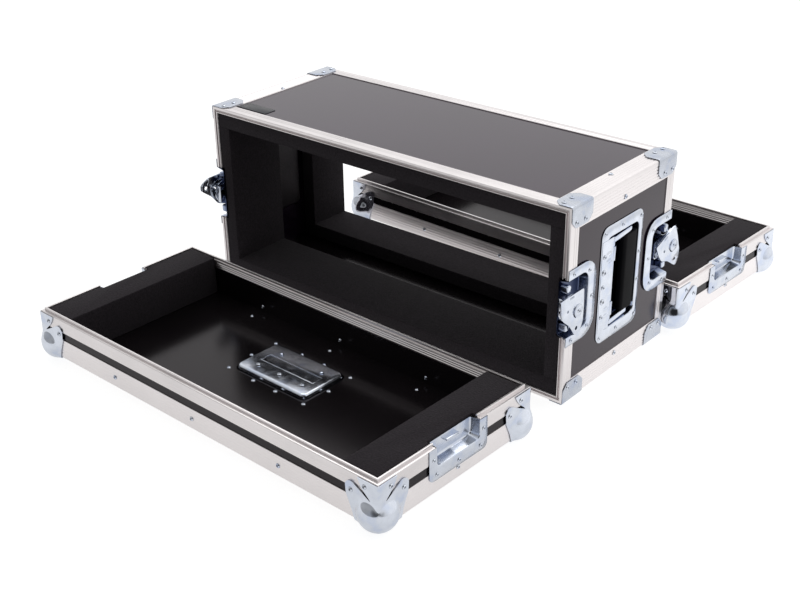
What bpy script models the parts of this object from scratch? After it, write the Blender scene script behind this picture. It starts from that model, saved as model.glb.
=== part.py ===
"""Amplifier head flight case: a ply sleeve open front and rear, with two lift-off lids.

The sleeve stands in the middle and both lids lie beside it with their insides up.
Units are metres, +Z is up, X runs along the case and -Y is its front.
The origin is the middle of the bottom panel's underside.
"""

import math

import bmesh
import bpy
from mathutils import Matrix, Vector
from mathutils.geometry import tessellate_polygon

# Outer size of the case, over the aluminium
CASE_WIDTH = 0.640
CASE_HEIGHT = 0.276
SLEEVE_DEPTH = 0.252

# Boards, aluminium extrusions and foam
PLY = 0.0065
ALU_WALL = 0.0012
ALU_RADIUS = 0.0022
EDGE_FLANGE = 0.0308
RIM_FLANGE = 0.019
RIM_INNER_FLANGE = 0.0135
RIM_INNER_WALL = 0.0009
RIM_WEB = 0.0066
RIB_PITCH = 0.0045
RIB_DEPTH = 0.0003
TONGUE_HEIGHT = 0.004
TONGUE_WALL = 0.0026
TONGUE_CLEARANCE = 0.0003
GROOVE_LIP = 0.0042
FOAM = 0.022
FOAM_FRONT_DEPTH = 0.102
FOAM_REAR_DEPTH = 0.074
FOAM_SETBACK = 0.002

# Lids
LID_STRIP = 0.0126
LID_FOAM_BLOCK = 0.053
LID_FOAM_SETBACK = 0.0012
# Where each lid lies: shift along X, room left beside the sleeve, turn in degrees
FRONT_LID_LIES = (0.0054, 0.0793, -1.54)
REAR_LID_LIES = (0.0220, 0.0250, -2.10)

# Flat corner braces on the sleeve
BRACE_LENGTH = 0.046
BRACE_WIDTH = 0.0285
BRACE_WALL = 0.0012

# Ball corners on the lids
BALL_RADIUS = 0.025
BALL_INBOARD = 0.014
BALL_WALL = 0.0013
BALL_STEPS = 16
CORNER_LEG = 0.040

# Recessed latches
DISH_WALL = 0.0012
DISH_LIP = 0.0003
PAN_DEPTH = 0.014
LATCH_FLANGE = (0.064, 0.108)
LATCH_FLANGE_RADIUS = 0.026
LATCH_PAN = (0.047, 0.080)
LATCH_PAN_RADIUS = 0.014
PAN_DRAFT = 0.002
KEEPER_FLANGE = (0.044, 0.106)
KEEPER_FLANGE_RADIUS = 0.008
KEEPER_PAN = (0.026, 0.078)
KEEPER_PAN_RADIUS = 0.007
HOOK_WALL = 0.0016
HOOK_WIDTH = 0.026
HOOK_END = 0.0155
CLAW_HEIGHT = 0.006
LUG_WIDTH = 0.022
LUG_WALL = 0.0027
LUG_SETBACK = 0.009
CAM_THROW = 0.009
CAM_PIN_RADIUS = 0.002
CAM_NECK_RADIUS = 0.0075
CAM_POST_RADIUS = 0.0038
CAM_DISC_RADIUS = 0.018
CAM_DISC_WALL = 0.002
HUB_SETBACK = 0.007
WING_WALL = 0.0016
WING_BARREL_RADIUS = 0.003
# Turn of each wing from where its hook is drawn in, in degrees
WING_REST = {"front_right": 0.0, "rear_right": 20.0, "front_left": 90.0, "rear_left": 0.0}

# Sprung handles
GRIP_LENGTH = 0.112
GRIP_WIDTH = 0.030
GRIP_THICKNESS = 0.0115
HANDLE_PAN_WIDTH = 0.080
HANDLE_PAN_ROOM = 0.011
HANDLE_PAN_RADIUS = 0.010
HANDLE_PAN_SHIFT = 0.002
HANDLE_PAN_DEPTH = 0.013
HANDLE_FLANGE_WIDTH = 0.101
HANDLE_FLANGE_LAP = 0.017
HANDLE_FLANGE_RADIUS = 0.014
LID_HANDLE_SHIFT = 0.031
STRIP_LAP = 0.016
BAIL_ROD = 0.0025
BAIL_ARM = 0.0042
KNUCKLE_RADIUS = 0.0042
KNUCKLE_LENGTH = 0.020

# Clearances
GAP = 0.0003
RUNNING_GAP = 0.0004
GLUE_LINE = 0.00001
BED_STEP = 0.00005
CUT_MARGIN = 0.004

# Values worked out from the sizes above
HALF_W = CASE_WIDTH / 2
HALF_H = CASE_HEIGHT / 2
HALF_D = SLEEVE_DEPTH / 2
RIM_T = ALU_WALL + PLY + RIM_INNER_WALL
LID_BODY = EDGE_FLANGE + LID_STRIP + RIM_FLANGE
EDGE_Z = -ALU_WALL
SLEEVE_MID_Z = EDGE_Z + HALF_H
BALL_PROUD = BALL_RADIUS - BALL_INBOARD
STAND_Z = EDGE_Z - GAP - BRACE_WALL
LID_BASE_Z = STAND_Z + BALL_PROUD
DISH_TOP = DISH_LIP + DISH_WALL
PAN_FLOOR = DISH_TOP - PAN_DEPTH
HOOK_TOP = -0.0044
HOOK_UNDER = HOOK_TOP - HOOK_WALL
WING_UNDER = DISH_TOP + RUNNING_GAP
HANDLE_PAN = (GRIP_LENGTH + 2 * HANDLE_PAN_ROOM, HANDLE_PAN_WIDTH)
HANDLE_FLANGE = (HANDLE_PAN[0] + 2 * HANDLE_FLANGE_LAP, HANDLE_FLANGE_WIDTH)
STRIP_LENGTH = GRIP_LENGTH - 0.004

MATERIALS = {
    "black_laminate": ((0.045, 0.043, 0.046), 0.42, 0.0),
    "aluminium": ((0.78, 0.77, 0.77), 0.34, 1.0),
    "zinc": ((0.66, 0.70, 0.76), 0.28, 1.0),
    "foam": ((0.030, 0.028, 0.031), 0.95, 0.0),
    "rubber": ((0.020, 0.020, 0.022), 0.60, 0.0),
}


def clear_scene():
    for obj in list(bpy.data.objects):
        bpy.data.objects.remove(obj)


def material(name):
    if name in bpy.data.materials:
        return bpy.data.materials[name]
    colour, roughness, metallic = MATERIALS[name]
    made = bpy.data.materials.new(name)
    made.use_nodes = True
    shader = made.node_tree.nodes["Principled BSDF"]
    shader.inputs["Base Color"].default_value = (*colour, 1.0)
    shader.inputs["Roughness"].default_value = roughness
    shader.inputs["Metallic"].default_value = metallic
    return made


def mesh_object(name, verts, faces, finish, smooth=False):
    """One named object from vertices and faces, with its faces turned outwards."""
    mesh = bpy.data.meshes.new(name)
    mesh.from_pydata([tuple(v) for v in verts], [], faces)
    work = bmesh.new()
    work.from_mesh(mesh)
    bmesh.ops.remove_doubles(work, verts=work.verts, dist=1e-6)
    bmesh.ops.recalc_face_normals(work, faces=work.faces)
    work.to_mesh(mesh)
    work.free()
    if smooth:
        mesh.shade_smooth()
        mesh.set_sharp_from_angle(angle=math.radians(40))
    mesh.materials.append(material(finish))
    obj = bpy.data.objects.new(name, mesh)
    bpy.context.scene.collection.objects.link(obj)
    return obj


def block(name, low, high, finish):
    """A plain box between two corners."""
    xs, ys, zs = zip(low, high)
    verts = [(x, y, z) for x in xs for y in ys for z in zs]
    faces = [(0, 1, 3, 2), (4, 6, 7, 5), (0, 4, 5, 1), (2, 3, 7, 6), (0, 2, 6, 4), (1, 5, 7, 3)]
    return mesh_object(name, verts, faces, finish)


def plate(name, outline, low, high, finish, holes=()):
    """A flat plate in the local XY plane between two heights, with straight-sided holes."""
    loops = [list(outline)] + [list(hole) for hole in holes]
    flat = [point for loop in loops for point in loop]
    count = len(flat)
    verts = [(x, y, low) for x, y in flat] + [(x, y, high) for x, y in flat]
    triangles = tessellate_polygon([[Vector((x, y, 0)) for x, y in loop] for loop in loops])
    faces = [tuple(triangle) for triangle in triangles]
    faces += [tuple(index + count for index in reversed(triangle)) for triangle in triangles]
    start = 0
    for loop in loops:
        size = len(loop)
        for i in range(size):
            a, b = start + i, start + (i + 1) % size
            faces.append((a, b, b + count, a + count))
        start += size
    return mesh_object(name, verts, faces, finish)


def loft(name, rings, finish, smooth=False):
    """A closed skin through rings of equal length, capped at its first and last ring."""
    size = len(rings[0])
    verts = [point for ring in rings for point in ring]
    faces = [tuple(range(size)), tuple(range((len(rings) - 1) * size, len(rings) * size))]
    for r in range(len(rings) - 1):
        for i in range(size):
            a, b = r * size + i, r * size + (i + 1) % size
            faces.append((a, b, b + size, a + size))
    return mesh_object(name, verts, faces, finish, smooth)


def framed(name, profile, path, finish, closed):
    """A profile of (inset, depth) points carried round a mitred path.

    path(inset) gives the path's corners at that inset, and depth runs along local +Z."""
    rows = [[(x, y, depth) for x, y in path(inset)] for inset, depth in profile]
    stops = len(rows[0])
    count = len(rows)
    verts = [rows[k][s] for s in range(stops) for k in range(count)]
    faces = []
    for s in range(stops if closed else stops - 1):
        after = (s + 1) % stops
        for k in range(count):
            a, b = s * count + k, s * count + (k + 1) % count
            c, d = after * count + (k + 1) % count, after * count + k
            faces.append((a, b, c, d))
    if not closed:
        faces.append(tuple(range(count)))
        faces.append(tuple(range((stops - 1) * count, stops * count)))
    return mesh_object(name, verts, faces, finish)


def rounded_box(width, height, radius, steps=4, centre=(0.0, 0.0)):
    """Outline of a rectangle with round corners, counter-clockwise."""
    points = []
    corners = ((1, 1, 0), (-1, 1, 90), (-1, -1, 180), (1, -1, 270))
    for sx, sy, start in corners:
        cx = centre[0] + sx * (width / 2 - radius)
        cy = centre[1] + sy * (height / 2 - radius)
        for i in range(steps + 1):
            turn = math.radians(start + 90 * i / steps)
            points.append((cx + radius * math.cos(turn), cy + radius * math.sin(turn)))
    return points


def circle(radius, steps=16, centre=(0.0, 0.0)):
    turns = [2 * math.pi * i / steps for i in range(steps)]
    return [(centre[0] + radius * math.cos(t), centre[1] + radius * math.sin(t)) for t in turns]


def at_height(outline, height):
    return [(x, y, height) for x, y in outline]


def combine(target, others, operation):
    """Booleans the others into the target and removes them."""
    for other in others:
        step = target.modifiers.new(operation.lower(), "BOOLEAN")
        step.operation = operation
        step.object = other
        step.solver = "EXACT"
    graph = bpy.context.evaluated_depsgraph_get()
    graph.update()
    mesh = bpy.data.meshes.new_from_object(target.evaluated_get(graph))
    target.modifiers.clear()
    old = target.data
    target.data = mesh
    mesh.name = old.name
    bpy.data.meshes.remove(old)
    for other in others:
        bpy.data.objects.remove(other)
    tidy_mesh(target)
    return target


def tidy_mesh(obj):
    """Merges the slivers that a Boolean leaves and flattens its split faces."""
    work = bmesh.new()
    work.from_mesh(obj.data)
    bmesh.ops.remove_doubles(work, verts=work.verts, dist=2e-6)
    bmesh.ops.dissolve_degenerate(work, edges=work.edges, dist=1e-6)
    bmesh.ops.dissolve_limit(work, angle_limit=math.radians(0.2), verts=work.verts, edges=work.edges)
    work.to_mesh(obj.data)
    work.free()


def baked(obj, matrix):
    """Moves a mesh by a matrix, turning its faces round again if the matrix mirrors it."""
    obj.data.transform(matrix)
    if matrix.determinant() < 0:
        obj.data.flip_normals()
    obj.data.update()
    return obj


def with_origin(obj, point):
    """Puts an object's origin on its joint's axis without moving its shape."""
    obj.data.transform(Matrix.Translation(-Vector(point)))
    obj.data.update()
    obj.location = point
    return obj


def copy_of(obj, name, matrix):
    """A second object with its own mirrored or turned copy of a mesh."""
    made = bpy.data.objects.new(name, obj.data.copy())
    bpy.context.scene.collection.objects.link(made)
    return baked(made, matrix)


def basis(x_axis, y_axis, z_axis, origin=(0, 0, 0)):
    """The matrix that carries local axes onto three given world directions."""
    rows = [[x_axis[i], y_axis[i], z_axis[i], origin[i]] for i in range(3)]
    return Matrix(rows + [[0, 0, 0, 1]])


def ribbed(start, end, inset):
    """Shallow ribs along an outer flange, from one depth to another."""
    points = []
    direction = 1 if end > start else -1
    count = int((abs(end - start) - RIB_PITCH) / RIB_PITCH)
    for i in range(1, count + 1):
        middle = start + direction * i * RIB_PITCH
        half = direction * RIB_PITCH / 5
        points += [(inset, middle - half), (inset + RIB_DEPTH, middle), (inset, middle + half)]
    return points


def rim_profile(tongue):
    """Lid-location extrusion round a board's edge, with a groove or a raised tongue."""
    inner = RIM_T
    groove_out = GROOVE_LIP
    groove_in = GROOVE_LIP + TONGUE_WALL + 2 * TONGUE_CLEARANCE
    mouth = [(0.0, ALU_RADIUS / 2), (ALU_RADIUS / 2, 0.0)]
    if tongue:
        out, back = groove_out + TONGUE_CLEARANCE, groove_in - TONGUE_CLEARANCE
        lead = TONGUE_WALL / 5
        mouth += [(out, 0.0), (out, lead - TONGUE_HEIGHT), (out + lead, -TONGUE_HEIGHT)]
        mouth += [(back - lead, -TONGUE_HEIGHT), (back, lead - TONGUE_HEIGHT), (back, 0.0)]
    else:
        floor = TONGUE_HEIGHT + TONGUE_CLEARANCE
        mouth += [(groove_out, 0.0), (groove_out, floor), (groove_in, floor), (groove_in, 0.0)]
    inner_face = RIM_T - RIM_INNER_WALL
    channel = [(inner, 0.0), (inner, RIM_INNER_FLANGE), (inner_face, RIM_INNER_FLANGE)]
    channel += [(inner_face, RIM_WEB), (ALU_WALL, RIM_WEB), (ALU_WALL, RIM_FLANGE), (0.0, RIM_FLANGE)]
    return mouth + channel + ribbed(RIM_FLANGE, ALU_RADIUS, 0.0)


def rectangle_path(half_x, half_y):
    """Closed path round a rectangle, as a function of the inset."""
    def path(inset):
        x, y = half_x - inset, half_y - inset
        return [(x, -y), (x, y), (-x, y), (-x, -y)]
    return path


def bracket_path(half_x, half_y, stop, side):
    """Open path round one half of a rectangle, from one short side to the other."""
    def path(inset):
        x, y = half_x - inset, side * (half_y - inset)
        return [(x, stop), (x, y), (-x, y), (-x, stop)]
    return path


def dish(name, flange, flange_radius, pan, pan_radius, pan_depth, shift, top, finish):
    """A pressed dish: a flat flange round a drafted pan, one wall thick all over."""
    floor = (pan[0] - 2 * PAN_DRAFT, pan[1] - 2 * PAN_DRAFT)
    grow = 2 * DISH_WALL
    rings = [
        at_height(rounded_box(*floor, pan_radius, centre=(shift, 0)), top - pan_depth),
        at_height(rounded_box(*pan, pan_radius, centre=(shift, 0)), top),
        at_height(rounded_box(*flange, flange_radius), top),
        at_height(rounded_box(*flange, flange_radius), top - DISH_WALL),
        at_height(rounded_box(pan[0] + grow, pan[1] + grow, pan_radius + DISH_WALL,
                              centre=(shift, 0)), top - DISH_WALL),
        at_height(rounded_box(floor[0] + grow, floor[1] + grow, pan_radius + DISH_WALL,
                              centre=(shift, 0)), top - pan_depth - DISH_WALL),
    ]
    return loft(name, rings, finish)


def half_dish(name, flange, flange_radius, pan, pan_radius):
    """The half of a dish that ends square at the parting plane, on its -X side."""
    whole = dish(name, (2 * flange[0], flange[1]), flange_radius, (2 * pan[0], pan[1]),
                 pan_radius, PAN_DEPTH, 0.0, DISH_TOP, "zinc")
    far = flange[0] + CUT_MARGIN
    cutter = block("cutter", (0, -far - flange[1], -far), (far, far + flange[1], far), "zinc")
    return combine(whole, [cutter], "DIFFERENCE")


def pan_hole(pan, pan_radius):
    """Outline of the hole that a dish's pan needs in the board under its flange."""
    grow = 2 * (DISH_WALL + GAP)
    return pan[0] + grow, pan[1] + grow, pan_radius + DISH_WALL + GAP


def hole_cutter(size_x, size_y, radius, depth, matrix):
    """A solid with a pan's outline, through everything within a depth of the surface."""
    outline = rounded_box(size_x, size_y, radius)
    cutter = plate("cutter", outline, -depth, CUT_MARGIN, "zinc")
    return baked(cutter, matrix)


def latch_frame(place):
    """Frame of a latch: local X points out of the opening, local Z out of the end face."""
    end = -1 if place.startswith("front") else 1
    side = 1 if place.endswith("right") else -1
    up = end * side
    origin = (side * HALF_W, end * HALF_D, SLEEVE_MID_Z)
    return basis((0, end, 0), (0, 0, up), (side, 0, 0), origin)


def handle_cutter(matrix, depth):
    size_x, size_y, radius = pan_hole((HANDLE_PAN[1], HANDLE_PAN[0]), HANDLE_PAN_RADIUS)
    shift = Matrix.Translation((HANDLE_PAN_SHIFT, 0, 0))
    return hole_cutter(size_x, size_y, radius, depth, matrix @ shift)


def latch_cutter(place, depth):
    size_x, size_y, radius = pan_hole((2 * LATCH_PAN[0], LATCH_PAN[1]), LATCH_PAN_RADIUS)
    return hole_cutter(size_x, size_y, radius, depth, latch_frame(place))


def end_handle_frame(side):
    """Both end handles are the same part, turned half round from one end to the other."""
    return basis((0, side, 0), (0, 0, 1), (side, 0, 0), (side * HALF_W, 0, SLEEVE_MID_Z))


PLACES = ("front_right", "front_left", "rear_right", "rear_left")


def base_board(face, y):
    """Bottom board, bedded a hair lower where the metal laps it than over its bare middle."""
    whole = [(-face, -y), (face, -y), (face, y), (-face, y)]
    bare_x, bare_y = HALF_W - EDGE_FLANGE - GAP, HALF_D - RIM_FLANGE - GAP
    bare = [(-bare_x, -bare_y), (bare_x, -bare_y), (bare_x, bare_y), (-bare_x, bare_y)]
    rings = [at_height(whole, PLY), at_height(whole, BED_STEP), at_height(bare, BED_STEP),
             at_height(bare, 0)]
    return loft("bottom_panel", rings, "black_laminate")


def sleeve_panels():
    """Four laminated boards: full-width top and bottom, with the ends standing between them."""
    face = HALF_W - ALU_WALL
    y = HALF_D - RIM_WEB - GAP
    top = EDGE_Z + CASE_HEIGHT - ALU_WALL
    base_board(face, y)
    block("top_panel", (-face, -y, top - PLY), (face, y, top), "black_laminate")
    for side, name in ((1, "right_panel"), (-1, "left_panel")):
        xs = sorted((side * face, side * (face - PLY)))
        panel = block(name, (xs[0], -y, PLY + GAP), (xs[1], y, top - PLY - GAP), "black_laminate")
        cutters = [handle_cutter(end_handle_frame(side), HANDLE_PAN_DEPTH * 2)]
        for place in PLACES:
            if place.endswith(name.split("_")[0]):
                cutters.append(latch_cutter(place, PAN_DEPTH * 2))
        combine(panel, cutters, "DIFFERENCE")


def sleeve_rims():
    """Grooved rims round both openings, each parted where its two latch dishes cross it."""
    profile = rim_profile(tongue=False)
    stop = LATCH_PAN[1] / 2 + DISH_WALL + GAP
    for end, label in ((-1, "front"), (1, "rear")):
        for up, part in ((1, "upper"), (-1, "lower")):
            path = bracket_path(HALF_W, HALF_H, up * stop, up)
            rim = framed(f"{label}_rim_{part}", profile, path, "aluminium", closed=False)
            place = basis((1, 0, 0), (0, 0, 1), (0, -end, 0), (0, end * HALF_D, SLEEVE_MID_Z))
            baked(rim, place)


def angle_profile(flange):
    """Double-angle section with a round outer corner and ribbed faces, corner at the origin."""
    arc = []
    for i in range(4):
        turn = math.radians(180 + 90 * i / 3)
        reach = ALU_RADIUS
        arc.append((reach + reach * math.cos(turn), reach + reach * math.sin(turn)))
    ribs_down = ribbed(ALU_RADIUS, flange, 0.0)
    ribs_across = [(b, a) for a, b in ribbed(ALU_RADIUS, flange, 0.0)]
    section = list(reversed(ribs_down)) + arc + ribs_across
    section += [(flange, 0.0), (flange, ALU_WALL), (ALU_WALL, ALU_WALL), (ALU_WALL, flange), (0.0, flange)]
    return section


def brace_leg(length, width):
    """Outline of one leaf of a flat brace: square at the fold and clipped at its outer corners."""
    clip = width / 3
    half = length / 2
    fold = -GAP - BRACE_WALL
    return [(-half, fold), (half, fold), (half, width - clip), (half - clip, width),
            (clip - half, width), (-half, width - clip)]


def corner_brace(end):
    """Bent brace over one end of an edge angle, in the angle's own section frame."""
    start = end * (HALF_D - GAP)
    middle = start - end * BRACE_LENGTH / 2
    leaf = plate("brace", brace_leg(BRACE_LENGTH, BRACE_WIDTH), -GAP - BRACE_WALL, -GAP, "zinc")
    first = basis((0, 0, 1), (1, 0, 0), (0, 1, 0), (0, 0, middle))
    second = basis((0, 0, 1), (0, 1, 0), (1, 0, 0), (0, 0, middle))
    made = [copy_of(leaf, "brace_leaf", second), baked(leaf, first)]
    # The braces touch the angle on a pad, and stay clear of the rim
    depth = BRACE_LENGTH - RIM_FLANGE - BRACE_WIDTH / 3
    pad_low = end * (HALF_D - RIM_FLANGE - 2 * GAP)
    levels = sorted((pad_low, pad_low - end * depth))
    wide = BRACE_WIDTH * 0.6
    sink = ALU_WALL * 0.6
    for size in ((wide, sink), (sink, wide)):
        low = (-GAP - BRACE_WALL / 2 if size[0] == sink else ALU_RADIUS * 2,
               -GAP - BRACE_WALL / 2 if size[1] == sink else ALU_RADIUS * 2)
        made.append(block("pad", (*low, levels[0]), (*size, levels[1]), "zinc"))
    return made


def sleeve_edges():
    """Edge angles along the four long corners, each with a riveted brace over both its ends."""
    half = HALF_D - RIM_FLANGE - GAP
    for up, level in ((1, "top"), (-1, "bottom")):
        for side, hand in ((1, "right"), (-1, "left")):
            section = angle_profile(EDGE_FLANGE)
            rings = [[(a, b, y) for a, b in section] for y in (-half, half)]
            edge = loft(f"edge_angle_{level}_{hand}", rings, "aluminium")
            combine(edge, corner_brace(-1) + corner_brace(1), "UNION")
            corner = (side * HALF_W, 0, SLEEVE_MID_Z + up * HALF_H)
            baked(edge, basis((-side, 0, 0), (0, 0, -up), (0, 1, 0), corner))


def foam_ring(name, start, end):
    """Four foam strips butted into a ring, against the inside of the boards."""
    outer_x = HALF_W - RIM_T - GAP
    outer_z = HALF_H - RIM_T - GAP
    section = [(0, start), (FOAM, start), (FOAM, end), (0, end)]
    ring = framed(name, section, rectangle_path(outer_x, outer_z), "foam", closed=True)
    return baked(ring, basis((1, 0, 0), (0, 0, 1), (0, 1, 0), (0, 0, SLEEVE_MID_Z)))


def sleeve_foam():
    """Foam linings: a deep one at the front and a shorter one at the rear, cut round the dishes."""
    front = -HALF_D + FOAM_SETBACK
    rear = HALF_D - FOAM_SETBACK
    linings = {
        "front_foam_lining": (front, front + FOAM_FRONT_DEPTH),
        "rear_foam_lining": (rear - FOAM_REAR_DEPTH, rear),
    }
    for name, (start, end) in linings.items():
        ring = foam_ring(name, start, end)
        cutters = []
        for side in (1, -1):
            cutters.append(handle_cutter(end_handle_frame(side), HANDLE_PAN_DEPTH + DISH_WALL))
        for place in PLACES:
            if place.startswith(name.split("_")[0]):
                cutters.append(latch_cutter(place, -PAN_FLOOR + DISH_WALL + GAP))
        combine(ring, cutters, "DIFFERENCE")


def latch_dish(place):
    """D-shaped latch dish, open at the rim, with the bored post that the wing turns on."""
    made = half_dish(f"latch_dish_{place}", LATCH_FLANGE, LATCH_FLANGE_RADIUS, LATCH_PAN, LATCH_PAN_RADIUS)
    hub = (-HUB_SETBACK, 0)
    post = cam_rod("post", CAM_POST_RADIUS, PAN_FLOOR - DISH_WALL / 2, HOOK_TOP, hub)
    combine(made, [post], "UNION")
    bore = cam_rod("bore", CAM_PIN_RADIUS + RUNNING_GAP, PAN_FLOOR + RUNNING_GAP, 0, hub)
    combine(made, [bore], "DIFFERENCE")
    return baked(made, latch_frame(place))


def hub_point(place):
    """The wing's axis, where it meets the plane of the case's end."""
    side = 1 if place.endswith("right") else -1
    end = -1 if place.startswith("front") else 1
    return side * HALF_W, end * (HALF_D - HUB_SETBACK), SLEEVE_MID_Z


def hook_middle(place):
    """Where the hook's pin slot lies at rest: inside the hub by the throw, and out as the wing turns."""
    return -HUB_SETBACK - CAM_THROW + 2 * CAM_THROW * WING_REST[place] / 180


def cross_slot(middle):
    """Outline of the hook's hole: one arm clears the post, the other the eccentric pin."""
    pin_half = CAM_PIN_RADIUS + 0.21 * CAM_THROW + RUNNING_GAP
    pin_reach = CAM_THROW + CAM_PIN_RADIUS + RUNNING_GAP
    post_half = CAM_POST_RADIUS + RUNNING_GAP
    post_reach = CAM_THROW + CAM_POST_RADIUS + RUNNING_GAP
    quarter = [(post_reach, post_half), (pin_half, post_half), (pin_half, pin_reach)]
    points = []
    for sx, sy in ((1, 1), (-1, 1), (-1, -1), (1, -1)):
        arm = [(middle + sx * x, sy * y) for x, y in quarter]
        points += arm if sx * sy > 0 else arm[::-1]
    return points


def hook_plate(place):
    """Flat plate with a cross-shaped slot and a claw bent down at its outer end."""
    middle = hook_middle(place)
    tip, tail = middle + HOOK_END, middle - HOOK_END
    half = HOOK_WIDTH / 2
    nose = half / 5
    outline = [(tail, half - nose), (tail, nose - half), (tail + nose, -half), (tip, -half),
               (tip, half), (tail + nose, half)]
    made = plate(f"hook_plate_{place}", outline, HOOK_UNDER, HOOK_TOP, "zinc", [cross_slot(middle)])
    claw = block("claw", (tip - HOOK_WALL, -half, HOOK_UNDER - CLAW_HEIGHT), (tip, half, HOOK_TOP), "zinc")
    combine(made, [claw], "UNION")
    return with_origin(baked(made, latch_frame(place)), hub_point(place))


def wing_outline():
    """Kite outline of the wing about its hub: wide at the hinge barrel, narrow at the tip."""
    return [(-0.026, 0.020), (-0.0235, 0.003), (-0.019, -0.010), (-0.005, -0.021), (0.009, -0.0395),
            (0.0125, -0.0425), (0.018, -0.042), (0.022, -0.038), (0.0275, -0.026), (0.028, 0.0),
            (0.0265, 0.019), (0.0245, 0.0205)]


def cam_rod(name, radius, low, high, centre=(0.0, 0.0), steps=20):
    rings = [at_height(circle(radius, steps, centre), z) for z in (low, high)]
    return loft(name, rings, "zinc")


def latch_wing(place):
    """Wing, hinge barrel, cam disc, pivot and eccentric pin, turning as one about the post."""
    side = 1 if place.endswith("right") else -1
    end = -1 if place.startswith("front") else 1
    padlock_hole = circle(0.0028, 10, (0.0126, -0.0315))
    made = plate(f"latch_wing_{place}", wing_outline(), WING_UNDER, WING_UNDER + WING_WALL, "zinc",
                 [padlock_hole])
    disc_low = HOOK_TOP + GAP
    barrel_mid = WING_UNDER + WING_WALL - WING_BARREL_RADIUS
    barrel = cam_rod("barrel", WING_BARREL_RADIUS, -0.019, 0.019, steps=12)
    baked(barrel, basis((0, 1, 0), (0, 0, 1), (1, 0, 0), (0, 0.0165, barrel_mid)))
    neck_top = WING_UNDER + WING_WALL / 2
    parts = [
        barrel,
        cam_rod("neck", CAM_NECK_RADIUS, disc_low, neck_top),
        cam_rod("disc", CAM_DISC_RADIUS, disc_low, disc_low + CAM_DISC_WALL, steps=24),
        cam_rod("pivot", CAM_PIN_RADIUS, PAN_FLOOR + 3 * RUNNING_GAP, disc_low + CAM_DISC_WALL / 2),
    ]
    throw = (-end * side * CAM_THROW, 0)
    parts.append(cam_rod("pin", CAM_PIN_RADIUS, HOOK_UNDER - GAP, disc_low + GAP, throw, 10))
    combine(made, parts, "UNION")
    frame = basis((0, side, 0), (0, 0, 1), (side, 0, 0), hub_point(place))
    turn = Matrix.Rotation(math.radians(end * side * WING_REST[place]), 4, "Z")
    return with_origin(baked(made, frame @ turn), hub_point(place))


def latches():
    for place in PLACES:
        latch_dish(place)
        hook_plate(place)
        latch_wing(place)


def handle_axis():
    """Place of the handle's pivot in the dish frame: local X across, local Z outwards."""
    strip_edge = HANDLE_PAN_SHIFT - HANDLE_PAN[1] / 2 + STRIP_LAP
    return strip_edge + KNUCKLE_RADIUS, DISH_LIP - KNUCKLE_RADIUS + DISH_WALL / 2


def handle_dish(name, top, matrix):
    """Recessed dish with the hinge strip over one side and two knuckles round the pivot rod."""
    made = dish(name, (HANDLE_FLANGE[1], HANDLE_FLANGE[0]), HANDLE_FLANGE_RADIUS,
                (HANDLE_PAN[1], HANDLE_PAN[0]), HANDLE_PAN_RADIUS, HANDLE_PAN_DEPTH,
                HANDLE_PAN_SHIFT, top, "zinc")
    axis_x, axis_z = handle_axis()
    lift = top - DISH_LIP
    low_x = 2 * DISH_WALL - HANDLE_FLANGE[1] / 2
    half = STRIP_LENGTH / 2
    strip = block("strip", (low_x, -half, top - DISH_WALL / 2),
                  (axis_x - BAIL_ROD / 2, half, top + DISH_WALL / 2), "zinc")
    parts = [strip]
    for sign in (1, -1):
        middle = sign * (half - KNUCKLE_LENGTH / 2 - KNUCKLE_RADIUS)
        knuckle = cam_rod("knuckle", KNUCKLE_RADIUS, -KNUCKLE_LENGTH / 2, KNUCKLE_LENGTH / 2, steps=12)
        baked(knuckle, basis((1, 0, 0), (0, 0, 1), (0, -1, 0), (axis_x, middle, axis_z + lift)))
        parts.append(knuckle)
    combine(made, parts, "UNION")
    bore = cam_rod("bore", BAIL_ROD + RUNNING_GAP, -half - BAIL_ARM, half + BAIL_ARM, steps=12)
    baked(bore, basis((1, 0, 0), (0, 0, 1), (0, -1, 0), (axis_x, 0, axis_z + lift)))
    combine(made, [bore], "DIFFERENCE")
    return baked(made, matrix)


def grip_centre():
    """Middle of the grip across the dish, and its height."""
    edge = HANDLE_PAN_SHIFT + HANDLE_PAN[1] / 2 - PAN_DRAFT - 2 * RUNNING_GAP
    return edge - GRIP_WIDTH / 2, DISH_LIP - RUNNING_GAP - GRIP_THICKNESS / 2


def handle_bail(name, lift, matrix):
    """Steel frame: the pivot rod, two arms and the core bar inside the grip."""
    axis_x, axis_z = handle_axis()
    core_x, core_z = grip_centre()
    reach = GRIP_LENGTH / 2 + BAIL_ARM / 2 + RUNNING_GAP
    rod = cam_rod(name, BAIL_ROD, -reach, reach, steps=12)
    baked(rod, basis((1, 0, 0), (0, 0, 1), (0, -1, 0), (axis_x, 0, axis_z)))
    core = cam_rod("core", BAIL_ROD, -reach, reach, steps=12)
    baked(core, basis((1, 0, 0), (0, 0, 1), (0, -1, 0), (core_x, 0, core_z)))
    arms = []
    for sign in (1, -1):
        outline = rounded_box(core_x - axis_x + 3 * BAIL_ROD, 3 * BAIL_ROD, 1.4 * BAIL_ROD, 3,
                              ((core_x + axis_x) / 2, (core_z + axis_z) / 2))
        low = sign * reach - BAIL_ARM / 2
        arm = plate("arm", outline, low, low + BAIL_ARM, "zinc")
        arms.append(baked(arm, basis((1, 0, 0), (0, 0, 1), (0, -1, 0))))
    combine(rod, [core] + arms, "UNION")
    return baked(rod, matrix @ Matrix.Translation((0, 0, lift)))


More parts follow.
